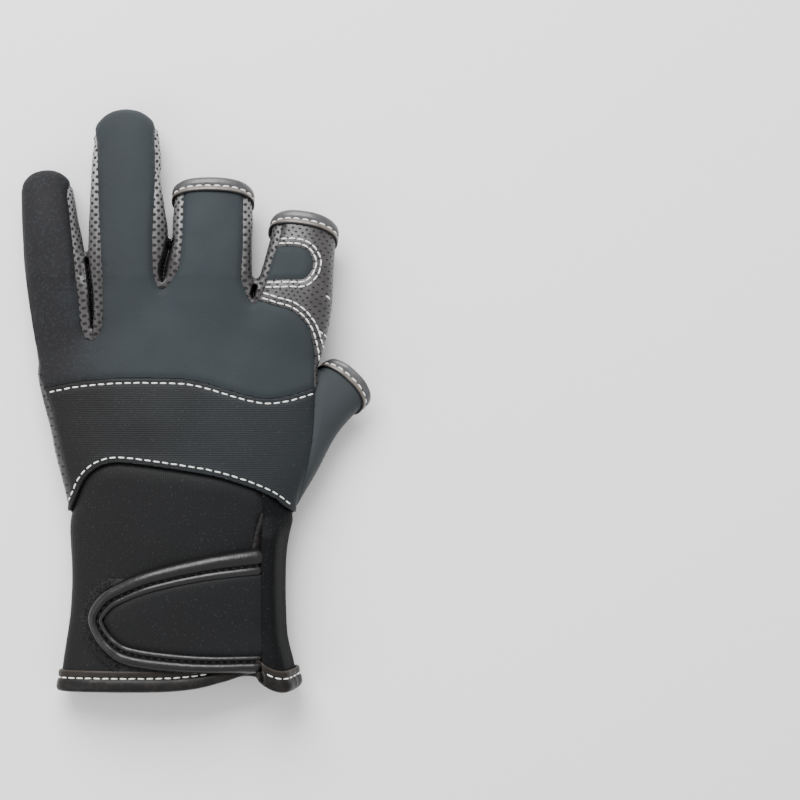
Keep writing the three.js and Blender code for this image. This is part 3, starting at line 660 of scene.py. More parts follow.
near = [edge for edge in skin.edges if all(from_cleft(vert.co) < 1.8 for vert in edge.verts)]
bmesh.ops.subdivide_edges(skin, edges=near, cuts=2, use_grid_fill=True)
skin.normal_update()
for vert in skin.verts:
    away = from_cleft(vert.co) / 1.3
    if away < 1 and vert.normal.z > 0.2:
        vert.co.z -= min(cleft_depth * (1 - away ** 2) ** 1.5, max(vert.co.z - cleft_floor, 0))
skin.normal_update()

flap_skin = one_skin([body_form(flap=True)])
start_panels(flap_skin)
for measure in (below_side_seam, lambda places: places[:, 0] - slit_x,
                lambda places: places[:, 1] - hand_shift.y - flap_hem(places[:, 0])):
    divide(flap_skin, "back_panel", measure, "waste")
divide(flap_skin, "back_panel", below("wrist"), "wrist_flap")


# Cutting out. Each panel is lifted off the skin, its sewn edges are turned in, and it is given the
# thickness of its cloth. No cloth has a joint, so every piece rides on the glove's one body.
def keep_largest(cloth):
    """Deletes the crumbs that a cut leaves beside its panel"""
    left, best = set(cloth.faces), []
    while left:
        patch, edge = [], [next(iter(left))]
        left.discard(edge[0])
        while edge:
            face = edge.pop()
            patch.append(face)
            for side in face.edges:
                for other in side.link_faces:
                    if other in left:
                        left.discard(other)
                        edge.append(other)
        best = max(best, patch, key=len)
    kept = set(best)
    bmesh.ops.delete(cloth, geom=[face for face in cloth.faces if face not in kept], context="FACES")


def edge_reach(cloth):
    """Each vertex's distance from the panel's own edge"""
    rim = [edge for edge in cloth.edges if edge.is_boundary]
    tree = KDTree(len(rim) * 4)
    for index, edge in enumerate(rim):
        for quarter in range(4):
            tree.insert(edge.verts[0].co.lerp(edge.verts[1].co, quarter / 4), index * 4 + quarter)
    tree.balance()
    return {vert: tree.find(vert.co)[2] for vert in cloth.verts}


def sewn(made, node, finish):
    """A finished object takes a node's place, its finish and the glove's body"""
    made.data.materials.append(finish)
    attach(made, "root")
    if node:
        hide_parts(node)
    return made


def flat_weave(spot):
    return spot


def finger_weave(*names):
    """Where a place lies round and along the nearest of these fingers, and how much painted shade it
    takes from the nearest cleft
    """
    def weave(spot):
        found = []
        for name in names:
            finger = fingers[name]
            lean = math.radians(finger["lean"])
            x = spot.x - hand_shift.x - finger["root_x"] * palm_width
            y = spot.y - hand_shift.y - finger["root_y"] * body_length
            along = x * math.sin(lean) + y * math.cos(lean)
            side = x * math.cos(lean) - y * math.sin(lean)
            height = spot.z - finger["root_height"] + finger_middle(finger, along)[0]
            found.append((math.hypot(side, height), math.atan2(height, side), along))
        # Painted shade: how far the web leather's colour is drawn to the hole colour near the nearest
        # cleft
        cleft_shade = 1 - ease(0.5, 1.15, from_cleft(spot))
        return Vector((min(found)[1] * weave_radius, min(found)[2], cleft_shade))
    return weave


panels = {}
weave_radius = 0.011
edge_step = 0.0024


def cut_out(source, name, wall, turn_in, finish, width=0.0026, relief=None, weave=None):
    """One panel with its edges turned in, and with what relief lifts it by from place to place"""
    number = panel_names.index(name)
    cloth = source.copy()
    layer = cloth.faces.layers.int["panel"]
    others = [face for face in cloth.faces if face[layer] != number]
    bmesh.ops.delete(cloth, geom=others, context="FACES")
    keep_largest(cloth)
    near = edge_reach(cloth)
    fine = [edge for edge in cloth.edges if all(near[vert] < edge_step for vert in edge.verts)]
    bmesh.ops.subdivide_edges(cloth, edges=fine, cuts=1, use_grid_fill=True)
    cloth.normal_update()
    thread = cloth.verts.layers.float_vector.new("weave")
    near = edge_reach(cloth)
    lifts = relief(np.array([vert.co[:] for vert in near])) if relief else [0] * len(near)
    for (vert, away), lift in zip(near.items(), lifts):
        if weave:
            vert[thread] = weave(vert.co)
        vert.co += vert.normal * (lift - turn_in * (1 - ease(-0.3 * width, width, away)))
        vert.co.z = max(vert.co.z, 0.0)
    made = object_from(f"{name}_sewn", cloth)
    thickness = made.modifiers.new("wall", "SOLIDIFY")
    thickness.thickness = wall
    thickness.offset = -1
    panels[name] = BVHTree.FromBMesh(cloth)
    return sewn(made, name, finish)


class Socket:
    """A shader's socket, which is added to, multiplied and so on as a number is"""

    def __init__(self, tree, socket):
        self.tree = tree
        self.socket = socket

    def node(self, kind, given, output=0, **settings):
        """Another node, with its settings and with what its sockets are given"""
        made = self.tree.nodes.new(f"ShaderNode{kind}")
        for name, setting in settings.items():
            setattr(made, name, setting)
        for key, value in given.items():
            if isinstance(value, Socket):
                self.tree.links.new(value.socket, made.inputs[key])
            else:
                made.inputs[key].default_value = value
        return Socket(self.tree, made.outputs[output])

    def __add__(self, other):
        return self.node("Math", {0: self, 1: other}, operation="ADD")

    def __mul__(self, other):
        return self.node("Math", {0: self, 1: other}, operation="MULTIPLY")

    def __sub__(self, other):
        return self.node("Math", {0: self, 1: other}, operation="SUBTRACT")

    def __rsub__(self, other):
        return self.node("Math", {0: other, 1: self}, operation="SUBTRACT")

    def __abs__(self):
        return self.node("Math", {0: self}, operation="ABSOLUTE")

    __radd__ = __add__
    __rmul__ = __mul__


def axis(vector, index):
    return vector.node("SeparateXYZ", {0: vector}, index)


def cosine(value):
    return value.node("Math", {0: value}, operation="COSINE")


def grain(place, scale, detail=2.0):
    """Cloudy noise from about 0.3 to 0.7, with so many clouds in a metre"""
    return place.node("TexNoise", {"Vector": place, "Scale": scale, "Detail": detail})


def climb(value, low, high):
    """From 0 at low to 1 at high, smoothly"""
    return value.node("MapRange", {"Value": value, "From Min": low, "From Max": high},
                      interpolation_type="SMOOTHSTEP")


def mixed(share, first, second):
    colours = {key: value if isinstance(value, Socket) else (*value, 1)
               for key, value in ((6, first), (7, second))}
    return share.node("Mix", {0: share, **colours}, 2, data_type="RGBA")


def relief_of(height, depth):
    return height.node("Bump", {"Height": height, "Distance": depth, "Strength": 1.0})


def finish_of(name, constants, describe):
    """A material: constants sit on the shader's own sockets, and describe gives what varies"""
    made = bpy.data.materials.new(name)
    made.use_nodes = True
    tree = made.node_tree
    shader = tree.nodes["Principled BSDF"]
    for key, value in constants.items():
        shader.inputs[key].default_value = value
    place = Socket(tree, tree.nodes.new("ShaderNodeTexCoord").outputs["Object"])
    for key, value in describe(place).items():
        tree.links.new(value.socket, shader.inputs[key])
    return made


# The neoprene of the back: the knuckles with the backs of three fingers, the D-shaped patch on
# the index finger, and the thumb's back. It is 2.2 mm thick with a smooth jersey face, cut from
# sheet and sewn to its neighbours edge to edge.
neoprene_wall = 0.0022
slate, plum, slate_deep = (0.0215, 0.0275, 0.031), (0.0098, 0.009, 0.0106), (0.024, 0.029, 0.032)
plum_side, slate_side = -0.056, -0.022
knit = 0.00055


def jersey(light, dark, across):
    def describe(place):
        clouds = grain(place, 90, 3)
        base = mixed(climb(axis(place, 0) + (clouds - 0.5) * 0.03, *across), dark, light)
        fleck = climb(grain(place, 900, 1), 0.35, 0.75)
        rib = cosine(axis(place, 0) * (turn / knit)) * cosine(axis(place, 1) * (turn / knit))
        return {"Base Color": mixed(fleck * 0.5, base, mixed(fleck, base, light)),
                "Roughness": 0.72 + (clouds - 0.5) * 0.3,
                "Normal": relief_of(rib * 0.3 + grain(place, 700, 2), 0.00006)}
    return describe


jersey_back = finish_of("jersey_back", {"Specular IOR Level": 0.2, "Sheen Weight": 0.03},
                        jersey(slate, plum, (plum_side, slate_side)))
jersey_thumb = finish_of("jersey_thumb", {"Specular IOR Level": 0.3, "Sheen Weight": 0.04},
                         jersey(slate_deep, slate_deep, (0, 1)))
cut_out(skin, "back_panel", neoprene_wall, 0.0009, jersey_back)
cut_out(skin, "index_patch", neoprene_wall, 0.0007, jersey_back)
cut_out(skin, "thumb_back", neoprene_wall, 0.0009, jersey_thumb)

# The middle of the back: near-black neoprene with fine ribs across the hand. Its knuckle edge is
# folded and topstitched, and its lower edge is left free and lies over the wrist panel.
wrist_gap, knuckle_gap = below("wrist"), below("knuckles")
rib_pitch = 0.00085


def near_line(away, reach):
    """From 1 on a line to 0 at its reach"""
    return (1 - np.clip(np.abs(away) / reach, 0, 1)) ** 2


def mid_lift(places):
    """The lower edge stands proud, and the topstitched edge is drawn in along its stitches"""
    stitched = (np.abs(knuckle_gap(places)) - 0.0019) / 0.0007
    return 0.0007 * near_line(wrist_gap(places), 0.006) - 0.0004 * np.exp(-stitched ** 2)


def ribbed(direction, pitch, dark, light, depth):
    def describe(place):
        clouds = grain(place, 60, 3)
        along = climb(axis(place, 0) + (clouds - 0.5) * 0.05, -0.05, 0.03)
        rib = cosine(axis(place, direction) * (turn / pitch) + grain(place, 150) * 1.5)
        speck = climb(grain(place, 1400, 1), 0.64, 0.74)
        base = mixed(along, dark, light)
        return {"Base Color": mixed(speck * 0.12, base, (0.12, 0.125, 0.13)),
                "Roughness": 0.62 + rib * 0.05,
                "Normal": relief_of(rib * 0.4 + grain(place, 900, 2), depth)}
    return describe


rib_knit = finish_of("rib_knit", {"Specular IOR Level": 0.25, "Sheen Weight": 0.02},
                     ribbed(1, rib_pitch, (0.0036, 0.0036, 0.004), (0.0098, 0.0125, 0.0145), 0.00007))
cut_out(skin, "mid_panel", neoprene_wall, 0.0006, rib_knit, relief=mid_lift)


# The wrist: fine-knit black neoprene. The panel over the back of the wrist runs in under the
# middle's free edge, the flap rises beside the slit and rolls over, and a gathered strip closes
# the palm side below the thumb.
def slit_share(places):
    """From 1 where the flap stands up to 0 above the slit, where it joins the wrist"""
    return np.clip((0.45 - (places[:, 1] - hand_shift.y) / body_length) / 0.07, 0, 1)


def wrist_sink(places):
    """The panel runs in under the free edge above it, and under the flap beside it"""
    under_flap = np.clip((places[:, 0] - slit_x + 0.003) / 0.003, 0, 1)
    under_flap *= 0.35 + 0.65 * slit_share(places)
    return -0.0014 * near_line(wrist_gap(places), 0.007) - 0.0018 * under_flap


def flap_edge(places):
    """Above the slit the flap's edge isn't rolled over"""
    return 0.0013 * near_line(places[:, 0] - slit_x, 0.006) * (1 - slit_share(places))


fine_knit = finish_of("fine_knit", {"Specular IOR Level": 0.15, "Sheen Weight": 0.02},
                      ribbed(0, 0.0008, (0.0072, 0.0072, 0.0078), (0.007, 0.0073, 0.008), 0.00004))
cut_out(skin, "wrist_panel", neoprene_wall, 0.0008, fine_knit, relief=wrist_sink)
# A darker copy of the wrist's fine knit: painted shade on the flap and the side strip
side_knit_painted_shade = finish_of("side_knit_painted_shade", {"Specular IOR Level": 0.08},
                      ribbed(0, 0.0008, (0.0046, 0.0046, 0.005), (0.0045, 0.0047, 0.0052), 0.00003))
cut_out(flap_skin, "wrist_flap", neoprene_wall, 0.0017, side_knit_painted_shade, width=0.0045,
        relief=flap_edge)
cut_out(skin, "wrist_side_strip", neoprene_wall, 0.0008, side_knit_painted_shade)

# The leather: 1.4 mm perforated synthetic leather, which wraps the index finger from its palm
# side, covers the palm and the palm side of the fingers, and is the thumb's inner half. Its
# holes are punched ovals in staggered rows.
leather_wall = 0.0014
hole_pitch = (0.0029, 0.0029)
hole_shape = (0.32, 0.68)
punch = (0.79, 0.88)


def punched(dark, light, hole, pitch, shape, punch, rise=None):
    def describe(place):
        weave = place.node("Attribute", {}, 1, attribute_name="weave")
        across = cosine(axis(weave, 0) * (turn / pitch[0]))
        along = cosine(axis(weave, 1) * (turn / pitch[1]))
        holes = climb(abs(across * shape[0] + along * shape[1]), *punch)
        clouds = grain(place, 130, 3)
        pebbles = grain(place, 1100, 3)
        if rise:
            # On the web strips this rise is painted light: dark low in the crotch is painted shade, and
            # the pale grey higher up is the leather's own pale tone with painted sheen on it
            share = climb(axis(place, 1) + (clouds - 0.5) * 0.02, *rise)
            # Painted shade: near each cleft the web strip's colour is drawn to the hole colour
            base = mixed(axis(weave, 2), mixed(share, dark, light), hole)
        else:
            base = mixed(climb(clouds, 0.3, 0.7), dark, light)
        return {"Base Color": mixed(holes, base, hole),
                "Roughness": 0.4 + (pebbles - 0.5) * 0.4 + holes * 0.4,
                "Normal": relief_of(pebbles * 0.12 - holes, 0.00035)}
    return describe


hole_black = (0.002, 0.002, 0.002)
leather = finish_of("leather", {"Specular IOR Level": 0.5}, punched(
    (0.025, 0.023, 0.0245), (0.046, 0.043, 0.045), hole_black, hole_pitch, hole_shape, punch))
cut_out(skin, "index_wrap", leather_wall, 0.0006, leather, weave=finger_weave("index"))
for name in ("palm_panel", "thumb_palm"):
    cut_out(skin, name, leather_wall, 0.0008, leather, weave=flat_weave)

# The strips between the fingers: pale perforated leather, folded double at each crotch, one for
# each pair of fingers, with its edges turned in along both fingers.
web_pitch = (0.0023, 0.003)
# The dark colour low in each crotch is painted shade; the pale grey higher up is the leather's pale
# tone with painted sheen on it
web_leather = finish_of("web_leather", {"Specular IOR Level": 0.5}, punched(
    (0.034, 0.031, 0.032), (0.23, 0.226, 0.232), hole_black, web_pitch, (0.5, 0.5), (0.56, 0.72),
    (0.05, 0.105)))
for web, names in webs.items():
    cut_out(skin, f"web_{web}", leather_wall, 0.001, web_leather,
            width=0.0022, weave=finger_weave(*names))


# The bindings of the three cut-open mouths: strips of smooth synthetic leather folded over the
# raw edge and topstitched, with a fat roll on the outside of the stitches and a narrow one inside.
profile_width = 0.0065
finger_binding_width = 0.00364
thumb_binding_width = 0.00374
binding_profile = [dict(inward=inward, out=out) for inward, out in (
    (6.6, 0.2), (6.6, 0.9), (5.7, 1.15), (4.6, 1.05), (4.15, 0.85), (3.85, 0.6), (3.5, 0.85),
    (2.5, 1.3), (0.7, 1.35), (-0.7, 0.9), (-1.2, -0.4), (-1.2, -1.8), (-0.7, -3.0), (0.8, -3.35),
    (5.5, -3.3), (6.5, -3.0), (6.5, -2.5), (6.0, -2.42), (0.3, -2.42), (-0.25, -1.1), (0.3, 0.17),
    (6.0, 0.17))]
groove = (3.85, 0.75)


def swept(around, profile, point_at, ends=False):
    """A closed profile swept round an edge, with where each place lies on it as its weave"""
    rows = [(row["inward"] / 1000, row["out"] / 1000) for row in profile]
    outline = spline(rows[-1:] + rows + rows[:2], 3)[3:-3]
    roll = bmesh.new()
    bmesh.ops.create_grid(roll, x_segments=around, y_segments=len(outline) - 1, size=0.5)
    thread = roll.verts.layers.float_vector.new("weave")
    for vert in roll.verts:
        u, v = vert.co.x + 0.5, vert.co.y + 0.5
        inward, out = outline[round(v * (len(outline) - 1))]
        vert[thread] = (u, inward, out)
        vert.co = point_at(u, inward, out)
    return joined(roll, ends)


def uneven(u, amount, seed):
    """A roll's small swells, which close up round a mouth"""
    return amount * noise.noise(Vector((math.cos(u * turn) * 2.2, math.sin(u * turn) * 2.2, seed)))


def rolled(roll, band, edge, roughness):
    """The colours across a binding: its fat roll, its narrow band, and the raw edge; on the finger and
    thumb bindings the band's light tan is a painted reflection, and the edge's near-black is partly a
    painted shadow line
    """
    def describe(place):
        weave = place.node("Attribute", {}, 1, attribute_name="weave")
        inward = axis(weave, 1)
        base = mixed(climb(inward, 0.0036, 0.0044), roll, band)
        base = mixed(climb(inward, 0.0058, 0.0064), base, edge)
        creases = grain(place, 420, 4)
        return {"Base Color": mixed(climb(creases, 0.4, 0.7) * 0.3, base, edge),
                "Roughness": roughness + (grain(place, 260, 3) - 0.5) * 0.35,
                "Normal": relief_of(creases, 0.00016)}
    return describe


# On these bindings the narrow band's light tan is a painted reflection, and the near-black inner edge
# is partly the edge's own dark and partly a painted shadow line
tip_binding = finish_of("tip_binding", {"Specular IOR Level": 0.6, "Coat Roughness": 0.3}, rolled(
    (0.062, 0.062, 0.065), (0.13, 0.112, 0.098), (0.005, 0.004, 0.004), 0.36))


def finger_rim(finger):
    scale = finger_binding_width / profile_width
    return lambda u, inward, out: finger_point(
        finger, u * turn, finger["length"] - inward * scale, out + uneven(u, 0.0002, finger["lean"]))


def thumb_rim(u, inward, out):
    scale = thumb_binding_width / profile_width
    return thumb_point(u * turn, 1 - inward * scale / thumb_reach, out * 0.95 + uneven(u, 0.0002, 3))


rims = {"middle_binding": finger_rim(fingers["middle"]),
        "index_binding": finger_rim(fingers["index"]), "thumb_binding": thumb_rim}
for name, rim in rims.items():
    sewn(object_from(f"{name}_roll", swept(110, binding_profile, rim)), name, tip_binding)

# The hem's binding runs from the slit round the little finger's side and the palm to the thumb's
# side, and the flap has its own. Both are brown-black leather strips, folded over and topstitched.
hem_binding_width = 0.007


def body_angle(x, station):
    """The angle at which the back of the hand lies at one place across"""
    column = body_columns(station)
    left, right = column["left"] * palm_width, column["right"] * palm_width
    share = (x - hand_shift.x - (left + right) / 2) / ((right - left) / 2)
    return math.acos(swell(share, roundness / 2))


def hem_rim(start, end, flap):
    scale = hem_binding_width / profile_width

    def rim(u, inward, out):
        angle = start + (end - start) * u
        grow = out * 1.1 + uneven(u * 1.7, 0.0002, 5)
        spot = body_point(angle, inward * scale / body_length, grow, flap)
        spot.y += flap_hem(spot.x) if flap else palm_hem_rise(spot.x, -math.sin(angle))
        return spot
    return rim


hem_binding = finish_of("hem_binding", {"Specular IOR Level": 0.2, "Coat Roughness": 0.3}, rolled(
    (0.0055, 0.005, 0.005), (0.014, 0.011, 0.0095), (0.03, 0.024, 0.02), 0.42))
rims["cuff_binding"] = hem_rim(body_angle(slit_x + slit_tuck, 0), turn, False)
rims["flap_binding"] = hem_rim(0, body_angle(slit_x, 0), True)
for name, around in (("cuff_binding", 260), ("flap_binding", 40)):
    roll = swept(around, binding_profile, rims[name], ends=True)
    sewn(object_from(f"{name}_roll", roll), name, hem_binding)

# The strap: a tongue of the wrist's neoprene, edged with a glossy black leather roll, that comes
# out from under the flap and closes on a patch of loop pile. It lies 1.5 mm off the wrist.
strap_length, strap_width = 0.067, 0.049
strap_foot = 0.041 * body_length + hand_shift.y
strap_tuck, roll_tuck = 0.005, 0.003
strap_rise, strap_wall = 0.0015, 0.0024
strap_outline = [
    (slit_x - back * strap_length, strap_foot + up * strap_width) for back, up in (
        (0, 1), (0.33, 0.93), (0.65, 0.824), (0.83, 0.72), (0.94, 0.616), (1, 0.456),
        (0.977, 0.304), (0.91, 0.168), (0.81, 0.072), (0.62, 0.024), (0.33, 0), (0, 0.01))]
strap_edge = spline(strap_outline, 10)
strap_edge = np.array([(slit_x + roll_tuck, strap_edge[0][1] + 0.0006), *strap_edge,
                       (slit_x + roll_tuck, strap_edge[-1][1])])
roll_widths = [dict(share=share, width=width) for share, width in (
    (0, 10.4), (0.12, 8.8), (0.25, 7.8), (0.38, 6.8), (0.48, 5.6), (0.6, 6.4), (0.75, 7.4), (1, 6.2))]
roll_profile = [dict(inward=inward, out=out) for inward, out in (
    (0, 1.5), (-0.15, 2.6), (0.5, 4.2), (1.9, 5.1), (3.5, 4.9), (4.4, 3.9), (4.75, 3.1), (5.1, 3.8),
    (5.9, 4.4), (6.8, 4.3), (7.45, 3.7), (7.5, 2.4), (7.0, 1.6), (3.5, 1.5))]
strap_groove = (4.75, 3.3)
body_tree = BVHTree.FromBMesh(body_form())


strap_in = drawn_beside(strap_edge, 1) - strap_edge


def on_wrist(x, y, rise):
    """A place over the back of the wrist, so far off its skin"""
    spot, out = body_tree.ray_cast(Vector((x, y, 0.1)), Vector((0, 0, -1)))[:2]
    if spot is None:
        spot, out = body_tree.find_nearest(Vector((x, y, 0.01)))[:2]
    return Vector((x, y, spot.z)) + out * rise


def rim_place(u, inward):
    """A place on the strap's edge, so far in, where 7.5 mm stands for the roll's own width"""
    step = u * (len(strap_edge) - 1)
    first = min(int(step), len(strap_edge) - 2)
    share = step - first
    edge = strap_edge[first] * (1 - share) + strap_edge[first + 1] * share
    way = strap_in[first] * (1 - share) + strap_in[first + 1] * share
    width = follow(roll_widths, "share", u, "width")
    return edge + way * inward * width / 7.5


def strap_rim(u, inward, out):
    x, y = rim_place(u, inward)
    out *= 0.5 + 0.5 * ease(-0.002, 0.0025, slit_x - x)
    return on_wrist(x, y, out + uneven(u * 0.8, 0.0003, 8) * min(out / 0.003, 1))


def sheet_over_wrist(rise, outline, name, step=0.0008):
    """A sheet over the wrist, cut to an outline seen from above"""
    low, high = np.min(outline, axis=0) - 2 * step, np.max(outline, axis=0) + 2 * step
    cloth = bmesh.new()
    columns, rows = (int(span / step) for span in high - low)
    bmesh.ops.create_grid(cloth, x_segments=columns, y_segments=rows, size=0.5)
    for vert in cloth.verts:
        x, y = low + (high - low) * (vert.co.x + 0.5, vert.co.y + 0.5)
        vert.co = on_wrist(x, y, rise)
    start_panels(cloth)
    divide(cloth, "back_panel", within(outline), name)
    cloth.normal_update()
    return cloth


def tucked_in(outline):
    """The outline's two ends carried in under the flap"""
    top, foot = ((slit_x + strap_tuck, outline[end][1]) for end in (0, -1))
    return [top, *map(tuple, outline), foot]


panel_names += ["strap", "loop_patch", "slit_binding"]
inner_edge = [tuple(rim_place(share, 0.0069)) for share in np.linspace(0, 1, 90)]
strap_gap = within(tucked_in(inner_edge))


def strap_swell(places):
    """The foam swells between its rolled edges"""
    return 0.0006 * (1 - near_line(strap_gap(places), 0.01))


strap = cut_out(sheet_over_wrist(strap_rise + strap_wall, tucked_in(inner_edge), "strap"), "strap",
                strap_wall, 0.001, fine_knit, relief=strap_swell)
glossy_black = finish_of("glossy_black", {"Specular IOR Level": 0.42, "Coat Roughness": 0.2}, rolled(
    (0.004, 0.0038, 0.004), (0.006, 0.0058, 0.006), (0.008, 0.0075, 0.0075), 0.33))
strap_roll = swept(200, roll_profile, strap_rim, ends=True)
sewn(object_from("strap_binding_roll", strap_roll), "strap_binding", glossy_black)

# The loop patch: a knitted pad of loop pile, sewn to the wrist panel, that the strap's hook side
# grips. Its fuzz shows past the strap's rounded end.
pile_height, pile_margin, pile_top = 0.0012, 0.0032, 0.0012
pile_start, pile_end = 0.3, 0.72


def past_strap(share, away):
    """A place beyond the strap's edge, so far away from it"""
    return rim_place(share, 0) - strap_in[int(share * (len(strap_edge) - 1))] * away


pile_line = [tuple(past_strap(share, pile_margin)) for share in np.linspace(pile_start, pile_end, 60)]
pile_line += [(slit_x - strap_length / 2, pile_line[end][1]) for end in (-1, 0)]
pile = finish_of("pile", {"Specular IOR Level": 0.2, "Sheen Weight": 0.2}, lambda place: {
    "Base Color": mixed(climb(grain(place, 900, 3), 0.35, 0.7),
                        (0.006, 0.006, 0.0065), (0.022, 0.022, 0.024)),
    "Roughness": 0.85 + (grain(place, 500) - 0.5) * 0.2,
    "Normal": relief_of(grain(place, 1500, 3), 0.0003)})
cut_out(sheet_over_wrist(pile_top, pile_line, "loop_patch"), "loop_patch", 0.0009,
        0.0003, pile)
fibres = bmesh.new()
draw = random.Random(5)
fibre_count = 2600
for _ in range(fibre_count):
    u = draw.uniform(pile_start, pile_end)
    x, y = past_strap(u, draw.uniform(-0.001, pile_margin + 0.0002))
    root = on_wrist(x, y, pile_top - 0.0002)
    strand = bmesh.ops.create_cone(
        fibres, segments=3, radius1=0.00007, radius2=0.00003, depth=2)["verts"]
    lean = Vector((draw.gauss(0, 0.8), draw.gauss(0, 0.8), 1)) * pile_height * draw.uniform(0.5, 1)
    for vert in strand:
        vert.co = root + Vector((vert.co.x, vert.co.y, 0)) + lean * (vert.co.z + 1) / 2
sewn(object_from("pile_fibres", fibres), None, pile)

# The slit's own binding: a strip of the same brown-black leather as the hem's, sewn over the
# slit's raw edge. It shows as a thin sliver between the flap and the strap.
sliver = places_of(((0.264, 0.35), (0.278, 0.4), (0.3, 0.447), (0.311, 0.441), (0.313, 0.35)))
sliver_line = spline(sliver + sliver[:1], 4)[:-1]
cut_out(sheet_over_wrist(0.0015, sliver_line, "slit_binding", 0.0005), "slit_binding",
        0.0009, 0.0007, hem_binding, width=0.0014)

# The stitching: white polyester thread, about 3.3 mm a stitch, in rows that follow the seams a
# little to one side, and black thread along the strap's roll. Each stitch dips in at both ends.
thread_radius = 0.00033
stitch_length, stitch_pitch = 0.003, 0.0035


def thread_finish(name, colour, roughness):
    return finish_of(name, {"Specular IOR Level": 0.3}, lambda place: {
        "Base Color": mixed(grain(place, 2500), colour, tuple(0.8 * value for value in colour)),
        "Roughness": roughness + (grain(place, 1800) - 0.5) * 0.2,
        "Normal": relief_of(grain(place, 3000), 0.00008)})


white_thread = thread_finish("white_thread", (0.9, 0.9, 0.88), 0.55)
black_thread = thread_finish("black_thread", (0.008, 0.008, 0.008), 0.45)


def dropped(line, names, side=1):
    """A line seen from above or below, dropped on these panels, with each place's way out"""
    path = []
    for x, y in line:
        hits = []
        for name in names:
            spot, out = panels[name].ray_cast(Vector((x, y, 0.1 * side)), Vector((0, 0, -side)))[:2]
            if spot is not None:
                hits.append((spot.z * side, spot, out))
        if hits:
            path.append(max(hits)[1:])
    return path


def sew(cloth, path, pitch=stitch_pitch, length=stitch_length, proud=0.0001):
    """A row of stitches along a path of places and ways out"""
    radius = thread_radius
    reach = [0]
    for (before, _), (after, _) in zip(path, path[1:]):
        reach.append(reach[-1] + (after - before).length)

    def at(travel):
        index = int(np.clip(np.searchsorted(reach, travel) - 1, 0, len(path) - 2))
        share = (travel - reach[index]) / max(reach[index + 1] - reach[index], 1e-9)
        (spot, out), (following, next_out) = path[index], path[index + 1]
        return spot.lerp(following, share), out.lerp(next_out, share).normalized(), following - spot

    count = max(round(reach[-1] / pitch), 1)
    for number in range(count):
        middle = (number + 0.5) * reach[-1] / count
        wander = 0.06 * math.sin(number * 2.4)
        for vert in bmesh.ops.create_uvsphere(cloth, u_segments=6, v_segments=6, radius=1)["verts"]:
            spot, out, forward = at(middle + vert.co.z * length / 2)
            side = forward.cross(out).normalized()
            blunt = radius / max(math.hypot(vert.co.x, vert.co.y), 0.01) ** 0.5
            dip = proud - radius * 1.6 * abs(vert.co.z) ** 3
            vert.co = (spot + side * (vert.co.x * blunt + vert.co.z * wander * radius * 4)
                       + out * (vert.co.y * blunt + dip))


def stitches(name, paths, thread=white_thread, **sizes):
    cloth = bmesh.new()
    for path in paths:
        if len(path) > 2:
            sew(cloth, path, **sizes)
    return sewn(object_from(name, cloth), None, thread)


def round_rim(rim, inward, out, steps=160, start=0.0, end=1.0):
    """The path that a row of stitches takes round a binding"""
    path = []
    for share in np.linspace(start, end, steps):
        spot = rim(share, inward, out)
        path.append((spot, (rim(share, inward, out + 0.001) - spot).normalized()))
    return path


seam_margin, row_gap, close_pitch = 0.0019, 0.0009, 0.0032
knuckle_end, wrist_end, side_start = 0.0472, 0.0375, 0.0235
rows = ((drawn_beside(seam_line("knuckles"), -seam_margin), knuckle_end),
        (drawn_beside(seam_line("wrist"), seam_margin), wrist_end))
stitches("seam_stitches", [dropped([spot for spot in row if spot[0] < end], ("mid_panel", "thumb_back"))
                           for row, end in rows])
patch_line = seam_line("patch")
side_line = [spot for spot in seam_line("index_side") if spot[0] > side_start]
stitches("patch_stitches", [dropped(drawn_beside(patch_line, away), ("index_wrap", "index_patch"))
                            for away in (-row_gap, row_gap)], pitch=close_pitch, proud=0.0002)
outer_row = drawn_beside(side_line, 0.0032)[:int(0.8 * len(side_line))]
stitches("knuckle_stitches", [
    dropped(drawn_beside(side_line, 0.0012), ("index_wrap", "back_panel")),
    dropped(outer_row, ("index_wrap",))], pitch=close_pitch, proud=0.0002)
ticks = (((0.0505, 0.0409), (0.0538, 0.038)), ((0.0478, 0.0271), (0.051, 0.0246)))
stitches("side_ticks", [dropped(spline(tick, 6), ("index_wrap",)) for tick in ticks], proud=0.0002)
groove_in, groove_out = (value / 1000 for value in groove)
stitches("mouth_stitches", [round_rim(rims[name], groove_in, groove_out)
                            for name in ("middle_binding", "index_binding", "thumb_binding")])
stitches("hem_stitches", [round_rim(rims["cuff_binding"], groove_in, groove_out, 400, 0.01, 0.995),
                          round_rim(rims["flap_binding"], groove_in, groove_out, 60, 0.05, 0.95)])
strap_in_at, strap_out_at = (value / 1000 for value in strap_groove)
stitches("strap_stitches", [round_rim(strap_rim, strap_in_at, strap_out_at, 240, 0.01, 0.99)],
         black_thread, pitch=0.003, length=0.0024)

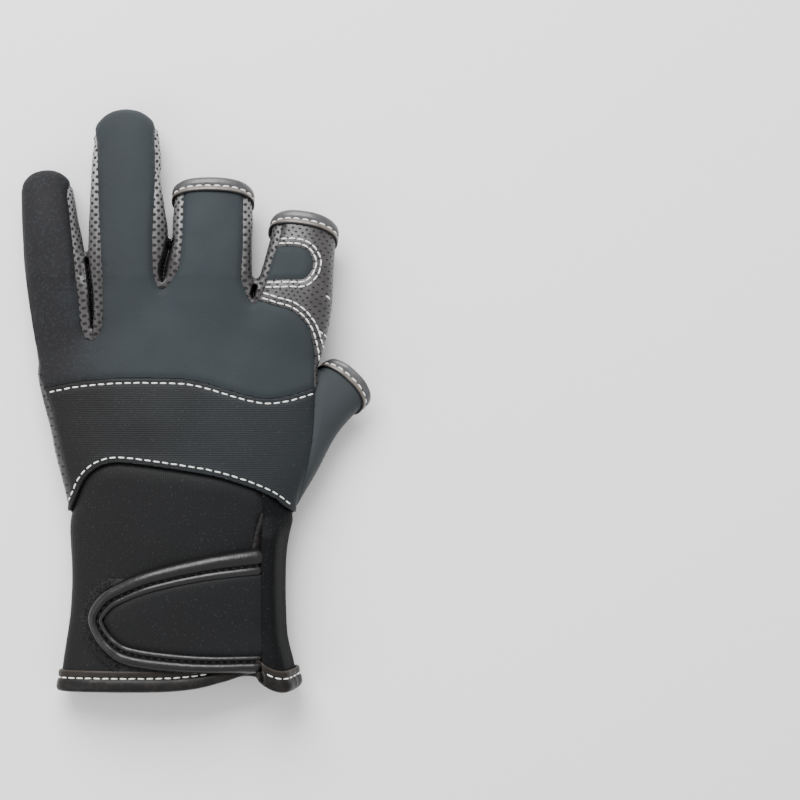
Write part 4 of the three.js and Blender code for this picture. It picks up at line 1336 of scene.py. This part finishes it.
# The palm's topstitching: three rows of the same thread run across it and hold the folds of its
# padding. Their places are in millimetres.
palm_rows = (
    ((57, 24.6), (44.6, 19.9), (28.2, 17.6), (12.3, 14.4), (-4, 15.6), (-20.4, 12.1),
     (-36.3, 11.3), (-54, 7.4)),
    ((57.2, 10.5), (44.6, 9), (31.5, 9.8), (15.2, 8.2), (-2.4, 8.2), (-20.4, 5.1), (-36.3, 2),
     (-53, -1.6)),
    ((51.1, -4.7), (39.7, -1.2), (23.3, 0), (7.4, 0.4), (-4, -0.8), (-20.4, -7), (-36.3, -14.8),
     (-51, -21)))
stitches("palm_stitches", [
    dropped(spline([(x / 1000, y / 1000) for x, y in row], 12), ("palm_panel", "thumb_palm"), -1)
    for row in palm_rows])

# Studio: a pale floor, a broad soft lamp from beyond the fingertips and a dim one from the left.
# The camera looks straight down, and the glove stands at the left of the picture.
floor_mesh = bmesh.new()
bmesh.ops.create_grid(floor_mesh, x_segments=1, y_segments=1, size=3)
floor = object_from("floor", floor_mesh)
floor.data.materials.append(finish_of("pale_floor", {"Specular IOR Level": 0.1}, lambda place: {
    "Base Color": mixed(grain(place, 3), (0.94, 0.94, 0.94), (0.92, 0.92, 0.92))}))
world = bpy.data.worlds.new("studio")
world.use_nodes = True
world.node_tree.nodes["Background"].inputs["Color"].default_value = (1, 1, 1, 1)
world.node_tree.nodes["Background"].inputs["Strength"].default_value = 0.95
bpy.context.scene.world = world
for name, energy, size, spot in (("softbox", 24, 0.8, (-0.2, 0.75, 0.85)),
                                 ("side_box", 2, 0.5, (-0.7, -0.3, 0.7))):
    lamp = bpy.data.lights.new(name, "AREA")
    lamp.energy = energy
    lamp.size = size
    box = bpy.data.objects.new(name, lamp)
    box.location = spot
    box.rotation_euler = (-box.location).to_track_quat("-Z", "Y").to_euler()
    bpy.context.scene.collection.objects.link(box)
lens = bpy.data.cameras.new("camera")
sensor, frame_width, frame_middle = 36, 0.312, 0.0797
distance, glove_height = 1.5, 0.018
lens.sensor_width = sensor
lens.lens = sensor * (distance - glove_height) / frame_width
camera = bpy.data.objects.new("camera", lens)
camera.location = (frame_middle, 0.0, distance)
bpy.context.scene.collection.objects.link(camera)
bpy.context.scene.camera = camera
